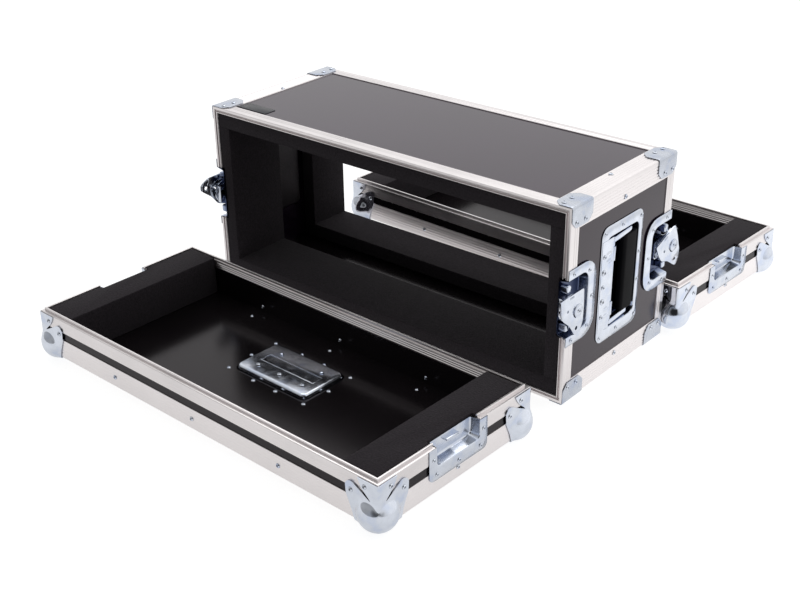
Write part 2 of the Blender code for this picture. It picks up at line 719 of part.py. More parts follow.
def handle_grip(name, lift, matrix):
    """Rubber grip sleeved over the core bar, with finger-round long edges."""
    core_x, core_z = grip_centre()
    outline = rounded_box(GRIP_WIDTH, GRIP_THICKNESS, GRIP_THICKNESS * 0.42, 4)
    bore = circle(BAIL_ROD + GAP, 12)
    half = GRIP_LENGTH / 2
    made = plate(name, outline, -half, half, "rubber", [bore])
    baked(made, basis((1, 0, 0), (0, 0, 1), (0, -1, 0), (core_x, 0, core_z)))
    return baked(made, matrix @ Matrix.Translation((0, 0, lift)))


def sprung_handle(prefix, matrix):
    """A complete recessed handle on a board whose face lies one extrusion wall down."""
    top = DISH_TOP - ALU_WALL
    lift = top - DISH_LIP
    handle_dish(f"{prefix}_handle_dish", top, matrix)
    axis_x, axis_z = handle_axis()
    pivot = matrix @ Vector((axis_x, 0, axis_z + lift))
    with_origin(handle_bail(f"{prefix}_handle_bail", lift, matrix), pivot)
    with_origin(handle_grip(f"{prefix}_handle_grip", lift, matrix), pivot)


def corner_zone(size, inner_radius):
    """What a lid's square corner loses: a cube less the ball that fits inside the ball corner."""
    far = -CUT_MARGIN * 4
    cube = block("corner_zone", (far, far, far), (size, size, size), "zinc")
    return combine(cube, [ball("ball", inner_radius)], "DIFFERENCE")


def ball(name, radius):
    """A sphere about the ball corner's centre, in the corner's own frame."""
    rows = BALL_STEPS // 2
    rings = []
    for r in range(1, rows):
        polar = math.pi * r / rows
        flat = circle(radius * math.sin(polar), BALL_STEPS, (BALL_INBOARD, BALL_INBOARD))
        rings.append(at_height(flat, BALL_INBOARD + radius * math.cos(polar)))
    return loft(name, rings, "zinc", smooth=True)


def side_leaf():
    """Side leaf of a ball corner: an ear, a slanted slit and the brace beside the corner."""
    top = LID_BODY - ALU_RADIUS / 2
    # Ear and slit, in fortieths of the base leaf's leg
    outline = [(0, 0), (36, 0), (40, 14), (48, 31), (49, 40), (47.5, 48), (43, 52), (37, 51.5),
               (12, 36.5), (10.2, 38.5), (31.5, 55.5)]
    unit = CORNER_LEG / 40
    return [(a * unit, b * unit) for a, b in outline] + [(30 * unit, top), (0.0, top)]


def base_leaf():
    leg = CORNER_LEG
    clip = leg / 4
    return [(0, 0), (leg, 0), (leg, leg / 2), (leg - clip, leg / 2 + clip), (leg / 2 + clip, leg - clip),
            (leg / 2, leg), (0, leg)]


def lid_ball_corner():
    """Pressed corner in its own frame: faces at zero, running along +X, +Y and +Z from the corner."""
    out = GAP + BALL_WALL
    lap = out
    first = plate("ball_corner", [(a if a else -lap, b) for a, b in side_leaf()], -out, -GAP, "zinc")
    baked(first, basis((1, 0, 0), (0, 0, 1), (0, 1, 0)))
    second = plate("leaf", [(a if a else -lap, b) for a, b in side_leaf()], -out, -GAP, "zinc")
    baked(second, basis((0, 1, 0), (0, 0, 1), (1, 0, 0)))
    foot = [(a if a else -lap, b if b else -lap) for a, b in base_leaf()]
    third = plate("foot", foot, -out, -GAP, "zinc")
    combine(first, [second, third], "UNION")
    edge = BALL_INBOARD - GAP
    far = -CUT_MARGIN * 4
    trim = block("trim", (far, far, far), (edge, edge, edge), "zinc")
    combine(first, [trim], "DIFFERENCE")
    combine(first, [ball("ball", BALL_RADIUS)], "UNION")
    far = CORNER_LEG * 3
    body = block("body", (-GAP, -GAP, -GAP), (far, far, far), "zinc")
    keep = CUT_MARGIN * 4
    corner = block("keep", (-keep, -keep, -keep), (edge, edge, edge), "zinc")
    combine(body, [corner], "DIFFERENCE")
    combine(first, [body], "DIFFERENCE")
    combine(first, [ball("hollow", BALL_RADIUS - BALL_WALL)], "DIFFERENCE")
    return first


CORNERS = {"near_right": (1, -1), "far_right": (1, 1), "far_left": (-1, 1), "near_left": (-1, -1)}


def corner_frame(signs):
    """Mirrored frame of one lid corner, in the lid's own frame with its face down."""
    sx, sy = signs
    return basis((-sx, 0, 0), (0, -sy, 0), (0, 0, 1), (sx * HALF_W, sy * HALF_H, 0))


def keeper_frame(side):
    """Frame of a keeper dish: local X points out of the lid's mouth, local Z out of its end."""
    return basis((0, 0, 1), (0, side, 0), (side, 0, 0), (side * HALF_W, 0, LID_BODY))


def lid_cutters():
    inner = BALL_RADIUS - BALL_WALL - GAP
    made = []
    for signs in CORNERS.values():
        made.append(baked(corner_zone(BALL_INBOARD, inner), corner_frame(signs)))
    return made


def keeper_cutter(side, depth):
    size_x, size_y, radius = pan_hole((2 * KEEPER_PAN[0], KEEPER_PAN[1]), KEEPER_PAN_RADIUS)
    return hole_cutter(size_x, size_y, radius, depth, keeper_frame(side))


def lid_handle_frame():
    """The front lid's handle faces down in the lid's frame, its long side along X."""
    return basis((0, 1, 0), (1, 0, 0), (0, 0, -1), (0, LID_HANDLE_SHIFT, 0))


def lid_tray(prefix, with_handle):
    """Ply tray: a base board with four side boards glued round it."""
    low = ALU_WALL
    top = LID_BODY - RIM_WEB - GAP
    outer_x, outer_y = HALF_W - ALU_WALL - GLUE_LINE, HALF_H - ALU_WALL - GLUE_LINE
    wall = PLY - 2 * GLUE_LINE
    base = block(f"{prefix}_tray", (-outer_x, -outer_y, low), (outer_x, outer_y, top), "black_laminate")
    inside = block("inside", (wall - outer_x, wall - outer_y, low + PLY),
                   (outer_x - wall, outer_y - wall, top + CUT_MARGIN), "black_laminate")
    cutters = [inside] + lid_cutters() + [keeper_cutter(1, PAN_DEPTH), keeper_cutter(-1, PAN_DEPTH)]
    if with_handle:
        cutters.append(handle_cutter(lid_handle_frame(), HANDLE_PAN_DEPTH * 2))
    return combine(base, cutters, "DIFFERENCE")


def lid_base_edge(prefix):
    """Edge angle round the lid's face, mitred at its corners and cut back under the balls."""
    made = framed(f"{prefix}_base_edge", angle_profile(EDGE_FLANGE), rectangle_path(HALF_W, HALF_H),
                  "aluminium", closed=True)
    return combine(made, lid_cutters(), "DIFFERENCE")


def lid_rims(prefix):
    """Tongued rim in two lengths, parted where the keeper dishes cross it."""
    stop = KEEPER_PAN[1] / 2 + DISH_WALL + GAP
    for side, part in ((-1, "near"), (1, "far")):
        path = bracket_path(HALF_W, HALF_H, side * stop, side)
        rim = framed(f"{prefix}_rim_{part}", rim_profile(tongue=True), path, "aluminium", closed=False)
        baked(rim, basis((1, 0, 0), (0, 1, 0), (0, 0, -1), (0, 0, LID_BODY)))


def keeper_dish(name, side):
    """Keeper dish, open at the lid's rim, with the lug that the hook's claw pulls on."""
    made = half_dish(name, KEEPER_FLANGE, KEEPER_FLANGE_RADIUS, KEEPER_PAN, KEEPER_PAN_RADIUS)
    half = LUG_WIDTH / 2
    lug = block("lug", (-LUG_SETBACK, -half, PAN_FLOOR - DISH_WALL / 2),
                (LUG_WALL - LUG_SETBACK, half, HOOK_UNDER - 2 * GAP), "zinc")
    combine(made, [lug], "UNION")
    return baked(made, keeper_frame(side))


def lid_foam(prefix):
    """Two foam blocks against the short ends, cut round the keeper dishes."""
    outer = HALF_W - ALU_WALL - PLY - GAP
    inner = outer - LID_FOAM_BLOCK
    half = HALF_H - RIM_T - GAP
    low = ALU_WALL + PLY + GAP
    high = LID_BODY + TONGUE_HEIGHT - LID_FOAM_SETBACK
    for side, hand in ((1, "right"), (-1, "left")):
        xs = sorted((side * inner, side * (HALF_W - RIM_T - GAP)))
        pad = block(f"{prefix}_foam_{hand}", (xs[0], -half, low), (xs[1], half, high), "foam")
        combine(pad, [keeper_cutter(side, -PAN_FLOOR + DISH_WALL + GAP)], "DIFFERENCE")


def lid(prefix, end, lies, with_handle):
    """One lid, modelled with its face down about its own centre and then carried beside the sleeve."""
    before = set(bpy.data.objects)
    lid_tray(prefix, with_handle)
    lid_base_edge(prefix)
    lid_rims(prefix)
    lid_foam(prefix)
    for side, hand in ((1, "right"), (-1, "left")):
        keeper_dish(f"{prefix}_keeper_dish_{hand}", side)
    if with_handle:
        sprung_handle(prefix, lid_handle_frame())
    pattern = lid_ball_corner()
    for corner, signs in CORNERS.items():
        copy_of(pattern, f"{prefix}_ball_corner_{corner}", corner_frame(signs))
    bpy.data.objects.remove(pattern)
    carrier = bpy.data.objects.new(f"{prefix}_place", None)
    bpy.context.scene.collection.objects.link(carrier)
    shift, room, turn = lies
    carrier.location = (shift, end * (HALF_D + HALF_H + room), LID_BASE_Z)
    carrier.rotation_euler = (0, 0, math.radians(turn))
    for obj in set(bpy.data.objects) - before - {carrier}:
        obj.parent = carrier


def main():
    clear_scene()
    sleeve_panels()
    sleeve_rims()
    sleeve_edges()
    sleeve_foam()
    latches()
    sprung_handle("right", end_handle_frame(1))
    sprung_handle("left", end_handle_frame(-1))
    lid("front_lid", -1, FRONT_LID_LIES, with_handle=True)
    lid("rear_lid", 1, REAR_LID_LIES, with_handle=False)


main()
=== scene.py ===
"""Looks of a flight case for an amplifier head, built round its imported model.

All lengths are in metres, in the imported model's frame: X along the case, Y from front to rear, Z up.
"""

import math
from collections import namedtuple

import bmesh
import bpy
import numpy as np
from bpy.props import FloatProperty, FloatVectorProperty, PointerProperty
from bpy.types import Operator, Panel, PropertyGroup
from mathutils import Matrix, Vector
from mathutils.geometry import tessellate_polygon


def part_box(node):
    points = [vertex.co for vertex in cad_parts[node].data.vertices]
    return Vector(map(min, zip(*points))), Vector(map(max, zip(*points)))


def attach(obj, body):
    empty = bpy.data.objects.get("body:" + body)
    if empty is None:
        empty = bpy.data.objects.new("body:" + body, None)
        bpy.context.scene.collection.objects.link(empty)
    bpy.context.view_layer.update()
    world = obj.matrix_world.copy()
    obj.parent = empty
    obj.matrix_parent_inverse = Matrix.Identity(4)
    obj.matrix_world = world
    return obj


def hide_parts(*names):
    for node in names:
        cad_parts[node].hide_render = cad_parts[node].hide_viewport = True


bl_info = {
    "name": "Amplifier head flight case",
    "version": (1, 0, 0),
    "blender": (4, 5, 0),
    "location": "View3D > Sidebar > Flight case",
    "description": "Builds the visible pieces of a flight case for an amplifier head",
    "category": "Object",
}

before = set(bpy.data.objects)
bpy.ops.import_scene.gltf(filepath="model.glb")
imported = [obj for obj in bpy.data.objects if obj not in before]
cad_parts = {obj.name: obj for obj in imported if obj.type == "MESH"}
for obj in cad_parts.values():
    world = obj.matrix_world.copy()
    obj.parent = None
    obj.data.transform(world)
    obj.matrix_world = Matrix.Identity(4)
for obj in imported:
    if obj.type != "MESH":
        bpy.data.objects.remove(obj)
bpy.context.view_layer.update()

# Signs of X and Y for each corner of a lid
CORNERS = {"near_right": (1, -1), "far_right": (1, 1), "far_left": (-1, 1), "near_left": (-1, -1)}
# Where each lid lies: X, Y and its turn in degrees
LIDS = {"front_lid": (0.0054, -0.3433, -1.54), "rear_lid": (0.0220, 0.2890, -2.10)}
# Turn of each latch's wing at rest, in degrees
WING_TURN = {"front_right": 0.0, "front_left": 90.0, "rear_right": 20.0, "rear_left": 0.0}

# Heights that several pieces share
FLOOR_Z = -0.0027
SLEEVE_MID = 0.1368
LID_FACE_Z = 0.0083
LID_MOUTH = 0.0624

# Play between pieces, wall of pressed steel, and height of a pressed flange above its face
FIT = 0.0003
PRESSED = 0.0012
FLANGE_TOP = 0.0015
# Outer round of the extrusions, depth of the lids' shallow ribs, and height of the lids' tongue
ROUND = 0.0022
LID_RIB = 0.00012
TONGUE = 0.0040
# Skin of the ball corners outside the lid's faces
CORNER_OUT = 0.0016
# From a latch's post to the mouth, and from the post to the eccentric pin
LATCH_HUB = 0.007
ECCENTRIC = 0.009
# A handle's pivot rod and the core of its grip, as (x, z) in the dish's frame
HANDLE_ROD = (-0.0178, -0.0033)
HANDLE_CORE = (0.0242, -0.00585)
# From the middle of a handle's hinge strip to each knuckle, and from a wing's pivot to its barrel
KNUCKLE = 0.0398
BARREL = 0.0165
# Radii of the dishes' rivets and of the rivets' tails inside a lid
DISH_RIVET = 0.0026
RIVET_TAIL = 0.0027
# Both ends of the case, with their sign of X
HANDS = ((1, "right"), (-1, "left"))

Shape = namedtuple("Shape", "points faces")


class CaseSizes(PropertyGroup):
    """Sizes of the case."""

    width: FloatProperty(name="Width", description="Length of the case along X", default=0.640,
                         unit="LENGTH")
    height: FloatProperty(name="Height", description="Height of the sleeve, and depth of a lid",
                          default=0.276, unit="LENGTH")
    depth: FloatProperty(name="Sleeve depth", description="From the front rim to the rear rim",
                         default=0.252, unit="LENGTH")
    board: FloatProperty(name="Board", description="Thickness of the laminated ply", default=0.0065,
                         unit="LENGTH")
    wall: FloatProperty(name="Extrusion wall", description="Wall of the aluminium extrusions",
                        default=0.0012, unit="LENGTH")
    rim: FloatProperty(name="Rim width", description="Width of the rim at the mouth", default=0.0086,
                       unit="LENGTH")
    rim_flange: FloatProperty(name="Rim flange", description="Depth of the rim's outer flange",
                              default=0.019, unit="LENGTH")
    edge_flange: FloatProperty(name="Edge flange", description="Width of each leg of the edge angle",
                               default=0.0308, unit="LENGTH")
    foam: FloatProperty(name="Foam", description="Thickness of the sleeve's lining", default=0.022,
                        unit="LENGTH")
    lid_foam: FloatProperty(name="Lid foam", description="Thickness of the blocks at a lid's ends",
                            default=0.053, unit="LENGTH")
    ball: FloatProperty(name="Ball radius", description="Radius of the pressed ball corners",
                        default=0.025, unit="LENGTH")
    rivet: FloatProperty(name="Rivet radius", description="Radius of a blind rivet's head",
                         default=0.0031, unit="LENGTH")


class CaseColours(PropertyGroup):
    """Colours of the case."""

    laminate: FloatVectorProperty(name="Laminate", description="Fine-textured black laminate",
                                  default=(0.0050, 0.0040, 0.0046), subtype="COLOR", min=0, max=1)
    aluminium: FloatVectorProperty(name="Aluminium", description="Bright anodised extrusions",
                                   default=(0.86, 0.82, 0.82), subtype="COLOR", min=0, max=1)
    zinc: FloatVectorProperty(name="Zinc", description="Pale blue zinc plating",
                              default=(0.62, 0.655, 0.725), subtype="COLOR", min=0, max=1)
    foam: FloatVectorProperty(name="Foam", description="Charcoal foam", default=(0.0165, 0.0130, 0.0162),
                              subtype="COLOR", min=0, max=1)
    rubber: FloatVectorProperty(name="Rubber", description="Moulded grips", default=(0.005, 0.005, 0.006),
                                subtype="COLOR", min=0, max=1)
    floor: FloatVectorProperty(name="Floor", description="Floor and background",
                               default=(1.0, 1.0, 1.0), subtype="COLOR", min=0, max=1)


# Shapes as whole arrays


def arc(x, y, radius, start, end, steps):
    """Points on an arc about (x, y), from one angle to another in degrees."""
    turn = np.radians(np.linspace(start, end, steps))
    return np.column_stack([x + radius * np.cos(turn), y + radius * np.sin(turn)])


def grid(points, wrap_rows=False, wrap_columns=False, caps=False):
    """Quads over an array of points whose first two axes are the surface's two parameters."""
    rows, columns = points.shape[:2]
    index = np.arange(rows * columns).reshape(rows, columns)
    if wrap_rows:
        index = np.vstack([index, index[:1]])
    if wrap_columns:
        index = np.hstack([index, index[:, :1]])
    quads = np.stack([index[:-1, :-1], index[:-1, 1:], index[1:, 1:], index[1:, :-1]], axis=-1)
    faces = quads.reshape(-1, 4).tolist()
    if caps:
        faces += [index[0, :columns][::-1].tolist(), index[-1, :columns].tolist()]
    return Shape(points.reshape(-1, 3), faces)


def lifted(flat, heights):
    """Flat points with a height each; both are stretched to the same rows and columns."""
    flat, heights = np.asarray(flat, float), np.asarray(heights, float)
    shape = np.broadcast_shapes(flat.shape[:-1], heights.shape)
    tall = np.broadcast_to(heights, shape)[..., None]
    return np.concatenate([np.broadcast_to(flat, shape + (2,)), tall], axis=-1)


def joined(shapes):
    """Several shapes as one."""
    points, faces, start = [], [], 0
    for shape in shapes:
        points.append(np.asarray(shape.points, float))
        faces += [[start + i for i in face] for face in shape.faces]
        start += len(shape.points)
    return Shape(np.vstack(points), faces)


def frame_of(x_axis, y_axis, z_axis, origin):
    """4 x 4 array that carries local points to the case."""
    place = np.eye(4)
    place[:3, 0], place[:3, 1], place[:3, 2], place[:3, 3] = x_axis, y_axis, z_axis, origin
    return place


def shifted(x, y, z):
    """Frame that only moves a shape."""
    return frame_of((1, 0, 0), (0, 1, 0), (0, 0, 1), (x, y, z))


def along_x(y, z):
    """Frame that lays a turned shape along X."""
    return frame_of((0, 1, 0), (0, 0, 1), (1, 0, 0), (0, y, z))


def along_y(x, z):
    """Frame that lays a turned shape along Y."""
    return frame_of((1, 0, 0), (0, 0, -1), (0, 1, 0), (x, 0, z))


def spun(degrees):
    """Frame that turns a shape about Z."""
    return np.array(Matrix.Rotation(math.radians(degrees), 4, "Z"))


def moved(shape, place):
    """The shape carried by a 4 x 4 array, and turned inside out again where that mirrors it."""
    place = np.asarray(place, float)
    points = np.asarray(shape.points) @ place[:3, :3].T + place[:3, 3]
    faces = shape.faces
    if np.linalg.det(place[:3, :3]) < 0:
        faces = [face[::-1] for face in faces]
    return Shape(points, faces)


def swept(section, corners, mitres, closed):
    """A section of (inset, depth) points carried along a flat path.

    Each corner adds the inset times its mitre in the plane, and the depth against the plane's normal.
    """
    inset, depth = np.asarray(section, float).T
    flat = corners[:, None, :] + inset[None, :, None] * mitres[:, None, :]
    return grid(lifted(flat, -depth), closed, True, caps=not closed)


def extruded(outline, low, high):
    """A closed prism over a flat outline."""
    return grid(lifted(outline, [[low], [high]]), False, True, caps=True)


def turned(profile, steps=16):
    """(radius, height) points turned round Z; the first and last rings are closed by flat faces."""
    profile = np.asarray(profile, float)
    turn = np.linspace(0, 2 * np.pi, steps, endpoint=False)
    flat = profile[:, None, :1] * np.stack([np.cos(turn), np.sin(turn)], axis=1)
    return grid(lifted(flat, profile[:, 1:]), False, True, caps=True)


def ring(width, height, radius, x=0.0, steps=6):
    """A rounded rectangle about (x, 0)."""
    radius = max(min(radius, width / 2, height / 2), 1e-4)
    a, b = width / 2 - radius, height / 2 - radius
    return np.vstack([arc(x + sx * a, sy * b, radius, start, start + 90, steps)
                      for sx, sy, start in ((1, 1, 0), (-1, 1, 90), (-1, -1, 180), (1, -1, 270))])


def half_ring(width, height, radius, _x=0.0, steps=6):
    """The part of a rounded rectangle that ends square at x = 0 and reaches to -width."""
    radius = max(min(radius, width, height / 2), 1e-4)
    a, b = radius - width, height / 2 - radius
    return np.vstack([[(0, height / 2)], arc(a, b, radius, 90, 180, steps),
                      arc(a, -b, radius, 180, 270, steps), [(0, -height / 2)]])


def sheet(outline, holes=(), height=0.0):
    """A flat sheet with holes, cut into triangles."""
    loops = [[Vector((x, y, 0)) for x, y in loop] for loop in (outline, *holes)]
    points = [(p.x, p.y, height) for loop in loops for p in loop]
    return Shape(np.array(points), [list(face) for face in tessellate_polygon(loops)])


def circle(radius, x, y):
    """A circle in 16 steps."""
    return arc(x, y, radius, 0, 360, 17)[:-1]


def smooth_outline(points, radius, steps=4):
    """An outline whose corners are rounded: each corner becomes a quadratic curve between its sides."""
    points = np.asarray(points, float)
    before, after = np.roll(points, 1, axis=0), np.roll(points, -1, axis=0)
    to_before, to_after = before - points, after - points
    long_before = np.linalg.norm(to_before, axis=1, keepdims=True)
    long_after = np.linalg.norm(to_after, axis=1, keepdims=True)
    start = points + to_before / long_before * np.minimum(radius, long_before * 0.45)
    end = points + to_after / long_after * np.minimum(radius, long_after * 0.45)
    t = np.linspace(0, 1, steps)[None, :, None]
    curve = (1 - t) ** 2 * start[:, None] + 2 * t * (1 - t) * points[:, None] + t ** 2 * end[:, None]
    return curve.reshape(-1, 2)


# Meshes and pieces


def face_values(mesh, name, width=3):
    """A measure of each face, one row per face."""
    values = np.empty(len(mesh.polygons) * width)
    mesh.polygons.foreach_get(name, values)
    return values.reshape(-1, width)


def finished(name, shape, wall=0.0, bevel=0.0, facing=None, sharp=32.0, segments=2):
    """The shape as a mesh: welded, faced outwards, then given its wall and rounded edges."""
    mesh = bpy.data.meshes.new(name)
    mesh.from_pydata(np.asarray(shape.points).tolist(), [], shape.faces)
    work = bmesh.new()
    work.from_mesh(mesh)
    bmesh.ops.remove_doubles(work, verts=work.verts, dist=2e-6)
    bmesh.ops.dissolve_degenerate(work, edges=work.edges, dist=1e-6)
    bmesh.ops.recalc_face_normals(work, faces=work.faces)
    work.to_mesh(mesh)
    work.free()
    if facing is not None:
        ahead = face_values(mesh, "normal") @ np.asarray(facing, float)
        if face_values(mesh, "area", 1)[:, 0] @ ahead < 0:
            mesh.flip_normals()
    if wall or bevel:
        holder = bpy.data.objects.new(name, mesh)
        bpy.context.scene.collection.objects.link(holder)
        if wall:
            solid = holder.modifiers.new("Wall", "SOLIDIFY")
            solid.thickness = wall
            solid.offset = -1
            solid.use_even_offset = True
            solid.thickness_clamp = 1.0
        if bevel:
            edge = holder.modifiers.new("Edges", "BEVEL")
            edge.width = bevel
            edge.segments = segments
            edge.limit_method = "ANGLE"
            edge.angle_limit = math.radians(50)
        ready = holder.evaluated_get(bpy.context.evaluated_depsgraph_get())
        made = bpy.data.meshes.new_from_object(ready)
        bpy.data.objects.remove(holder)
        bpy.data.meshes.remove(mesh)
        mesh = made
    mesh.shade_smooth()
    mesh.set_sharp_from_angle(angle=math.radians(sharp))
    return mesh


def place_mesh(mesh, place):
    """A copy of the mesh carried by a 4 x 4 array."""
    copy = mesh.copy()
    place = np.asarray(place, float)
    copy.transform(Matrix(place.tolist()))
    if np.linalg.det(place[:3, :3]) < 0:
        copy.flip_normals()
    return copy


def add_piece(name, meshes, coat, body, nodes=()):
    """One object of the given meshes, already in the case's frame, riding on a body."""
    work = bmesh.new()
    for mesh in meshes:
        work.from_mesh(mesh)
    whole = bpy.data.meshes.new(name)
    work.to_mesh(whole)
    work.free()
    for mesh in meshes:
        bpy.data.meshes.remove(mesh)
    whole.materials.append(coat)
    # Faces marked 1 take the dark pin metal: the rivets' pins, and painted shade in their pits, round their
    # feet and on the backs of the sleeve's handle dishes
    if any(face.material_index for face in whole.polygons):
        whole.materials.append(finish(dark_pin_and_painted_shade))
    obj = bpy.data.objects.new(name, whole)
    bpy.context.scene.collection.objects.link(obj)
    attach(obj, body)
    if nodes:
        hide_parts(*nodes)
    return obj


# Places of pieces on the case


def sizes():
    """The sizes that the sidebar shows."""
    return bpy.context.scene.case_sizes


def colours():
    """The colours that the sidebar shows."""
    return bpy.context.scene.case_colours


def lid_place(lid):
    """Frame of a lid, which lies on its face and is a little turned."""
    x, y, degrees = LIDS[lid]
    place = spun(degrees)
    place[:3, 3] = (x, y, LID_FACE_Z)
    return place


def side_and_end(place):
    """Signs of X and Y for a latch's place."""
    return (1 if place.endswith("right") else -1), (-1 if place.startswith("front") else 1)


def mouth_place(end):
    """Frame of an opening of the sleeve: local Z points out of it."""
    return frame_of((-end, 0, 0), (0, 0, 1), (0, end, 0), (0, end * sizes().depth / 2, SLEEVE_MID))


def latch_place(place):
    """Frame of a latch: local X points out of the opening, local Z out of the end face."""
    side, end = side_and_end(place)
    origin = (side * sizes().width / 2, end * sizes().depth / 2, SLEEVE_MID)
    return frame_of((0, end, 0), (0, 0, end * side), (side, 0, 0), origin)


def handle_places():
    """Frame, body and moving body of each handle: local X across, local Y along, local Z outwards."""
    half = sizes().width / 2
    lid_handle = frame_of((0, 1, 0), (1, 0, 0), (0, 0, -1), (0, 0.031, 0))
    return {
        "right": (frame_of((0, 1, 0), (0, 0, 1), (1, 0, 0), (half, 0, SLEEVE_MID)), "sleeve",
                  "right_handle"),
        "left": (frame_of((0, -1, 0), (0, 0, 1), (-1, 0, 0), (-half, 0, SLEEVE_MID)), "sleeve",
                 "left_handle"),
        "front_lid": (lid_place("front_lid") @ lid_handle, "front_lid", "front_lid_handle"),
    }


def keeper_place(lid, side):
    """Frame of a keeper dish: local X points out of the lid's mouth, local Z out of its end."""
    local = frame_of((0, 0, 1), (0, side, 0), (side, 0, 0), (side * sizes().width / 2, 0, LID_MOUTH))
    return lid_place(lid) @ local


def corner_place(signs):
    """Mirror of a ball corner's own frame onto one corner of a lid."""
    sx, sy = signs
    origin = (sx * sizes().width / 2, sy * sizes().height / 2, 0)
    return frame_of((-sx, 0, 0), (0, -sy, 0), (0, 0, 1), origin)


# Finishes


def new_material(name):
    """A material with its node tree, its shader and the object coordinates."""
    material = bpy.data.materials.new(name)
    material.use_nodes = True
    tree = material.node_tree
    shader = tree.nodes["Principled BSDF"]
    where = tree.nodes.new("ShaderNodeTexCoord").outputs["Object"]
    return material, tree, shader, where


def noise(tree, where, scale, detail=2.0, stretch=None):
    """Noise over object coordinates, stretched along an axis if asked."""
    if stretch is not None:
        mapping = tree.nodes.new("ShaderNodeMapping")
        mapping.inputs["Scale"].default_value = stretch
        tree.links.new(where, mapping.inputs["Vector"])
        where = mapping.outputs["Vector"]
    node = tree.nodes.new("ShaderNodeTexNoise")
    node.inputs["Scale"].default_value = scale
    node.inputs["Detail"].default_value = detail
    tree.links.new(where, node.inputs["Vector"])
    return node.outputs["Fac"]


def ramp(tree, value, stops):
    """A ramp over a value, from (position, colour) stops."""
    node = tree.nodes.new("ShaderNodeValToRGB")
    while len(node.color_ramp.elements) < len(stops):
        node.color_ramp.elements.new(0.5)
    for element, (position, colour) in zip(node.color_ramp.elements, stops):
        element.position = position
        element.color = (*colour, 1.0)
    tree.links.new(value, node.inputs["Fac"])
    return node.outputs["Color"]


def preset(node, values):
    """Sets constants on a node's own sockets, by their names."""
    for name, value in values.items():
        node.inputs[name].default_value = value


def worked(tree, kind, operation, *values):
    """Outputs of a math node; each value is a constant or a socket to link."""
    node = tree.nodes.new(f"ShaderNode{kind}")
    node.operation = operation
    for socket, value in zip(node.inputs, values):
        if isinstance(value, bpy.types.NodeSocket):
            tree.links.new(value, socket)
        else:
            socket.default_value = value
    return node.outputs


def linked(tree, kind, *sources):
    """First output of a node whose first inputs are linked to the sources."""
    node = tree.nodes.new(f"ShaderNode{kind}")
    for socket, source in zip(node.inputs, sources):
        tree.links.new(source, socket)
    return node.outputs[0]


def varied(tree, shader, socket, value, stops):
    """Drives one of the shader's sockets by a ramp over a value."""
    tree.links.new(ramp(tree, value, stops), shader.inputs[socket])


def grey(value):
    """A grey of the given level."""
    return (value, value, value)


def shade(colour, factor):
    """A colour made lighter or darker."""
    return tuple(min(1.0, c * factor) for c in colour)


def bumped(tree, shader, height, strength, distance):
    """Gives the shader a fine relief from a height."""
    bump = tree.nodes.new("ShaderNodeBump")
    preset(bump, {"Strength": strength, "Distance": distance})
    tree.links.new(height, bump.inputs["Height"])
    tree.links.new(bump.outputs["Normal"], shader.inputs["Normal"])


def laminate(name, gloss, rough, tint=(1.0, 1.0, 1.0)):
    """Satin black laminate with a fine pressed grain and faint scuffs."""
    material, tree, shader, where = new_material(name)
    base = tuple(np.array(colours().laminate) * tint)
    broad = noise(tree, where, 7.0, 3.0)
    varied(tree, shader, "Base Color", broad, [(0.35, shade(base, 0.85)), (0.65, shade(base, 1.2))])
    varied(tree, shader, "Roughness", broad, [(0.3, grey(rough - 0.02)), (0.7, grey(rough + 0.02))])
    preset(shader, {"Specular IOR Level": gloss, "Specular Tint": (1.0, 0.86, 0.95, 1.0)})
    bumped(tree, shader, noise(tree, where, 900.0), 0.08, 0.0002)
    return material


def top_laminate():
    """The top panel's board, glossiest and a little violet."""
    return laminate("top_laminate_finish", 0.575, 0.13, (2.4, 1.0, 3.4))


def end_laminate():
    """The boards of the sleeve's ends."""
    return laminate("end_laminate_finish", 0.46, 0.14, (1.6, 1.0, 2.2))


def tray_laminate():
    """The lids' trays and the bottom panel, seen from inside."""
    return laminate("tray_laminate_finish", 0.24, 0.16)


def metal(name, colour, rough, spread, mottle, scale, stretch, bump):
    """Metal whose colour and roughness vary a little, with fine drawn lines or plating grain."""
    material, tree, shader, where = new_material(name)
    broad = noise(tree, where, scale, 3.0)
    varied(tree, shader, "Base Color", broad,
           [(0.35, shade(colour, 1.0 - mottle)), (0.65, shade(colour, 1.0 + mottle))])
    preset(shader, {"Metallic": 1.0})
    varied(tree, shader, "Roughness", broad, [(0.3, grey(rough - spread)), (0.7, grey(rough + spread))])
    bumped(tree, shader, noise(tree, where, 60.0, 2.0, stretch), bump, 0.0001)
    return material


def aluminium():
    """Anodised extrusion, a soft bright metal with faint drawn lines."""
    return metal("aluminium_finish", tuple(colours().aluminium), 0.33, 0.03, 0.03, 9.0, (1, 1, 1), 0.05)


def rim_shaded_aluminium():
    """The mouth extrusions: smoother, and a little greyer as painted shade."""
    return metal("rim_shaded_aluminium_finish", shade(colours().aluminium, 0.90), 0.30, 0.03, 0.04, 12.0,
                 (1, 1, 1), 0.05)


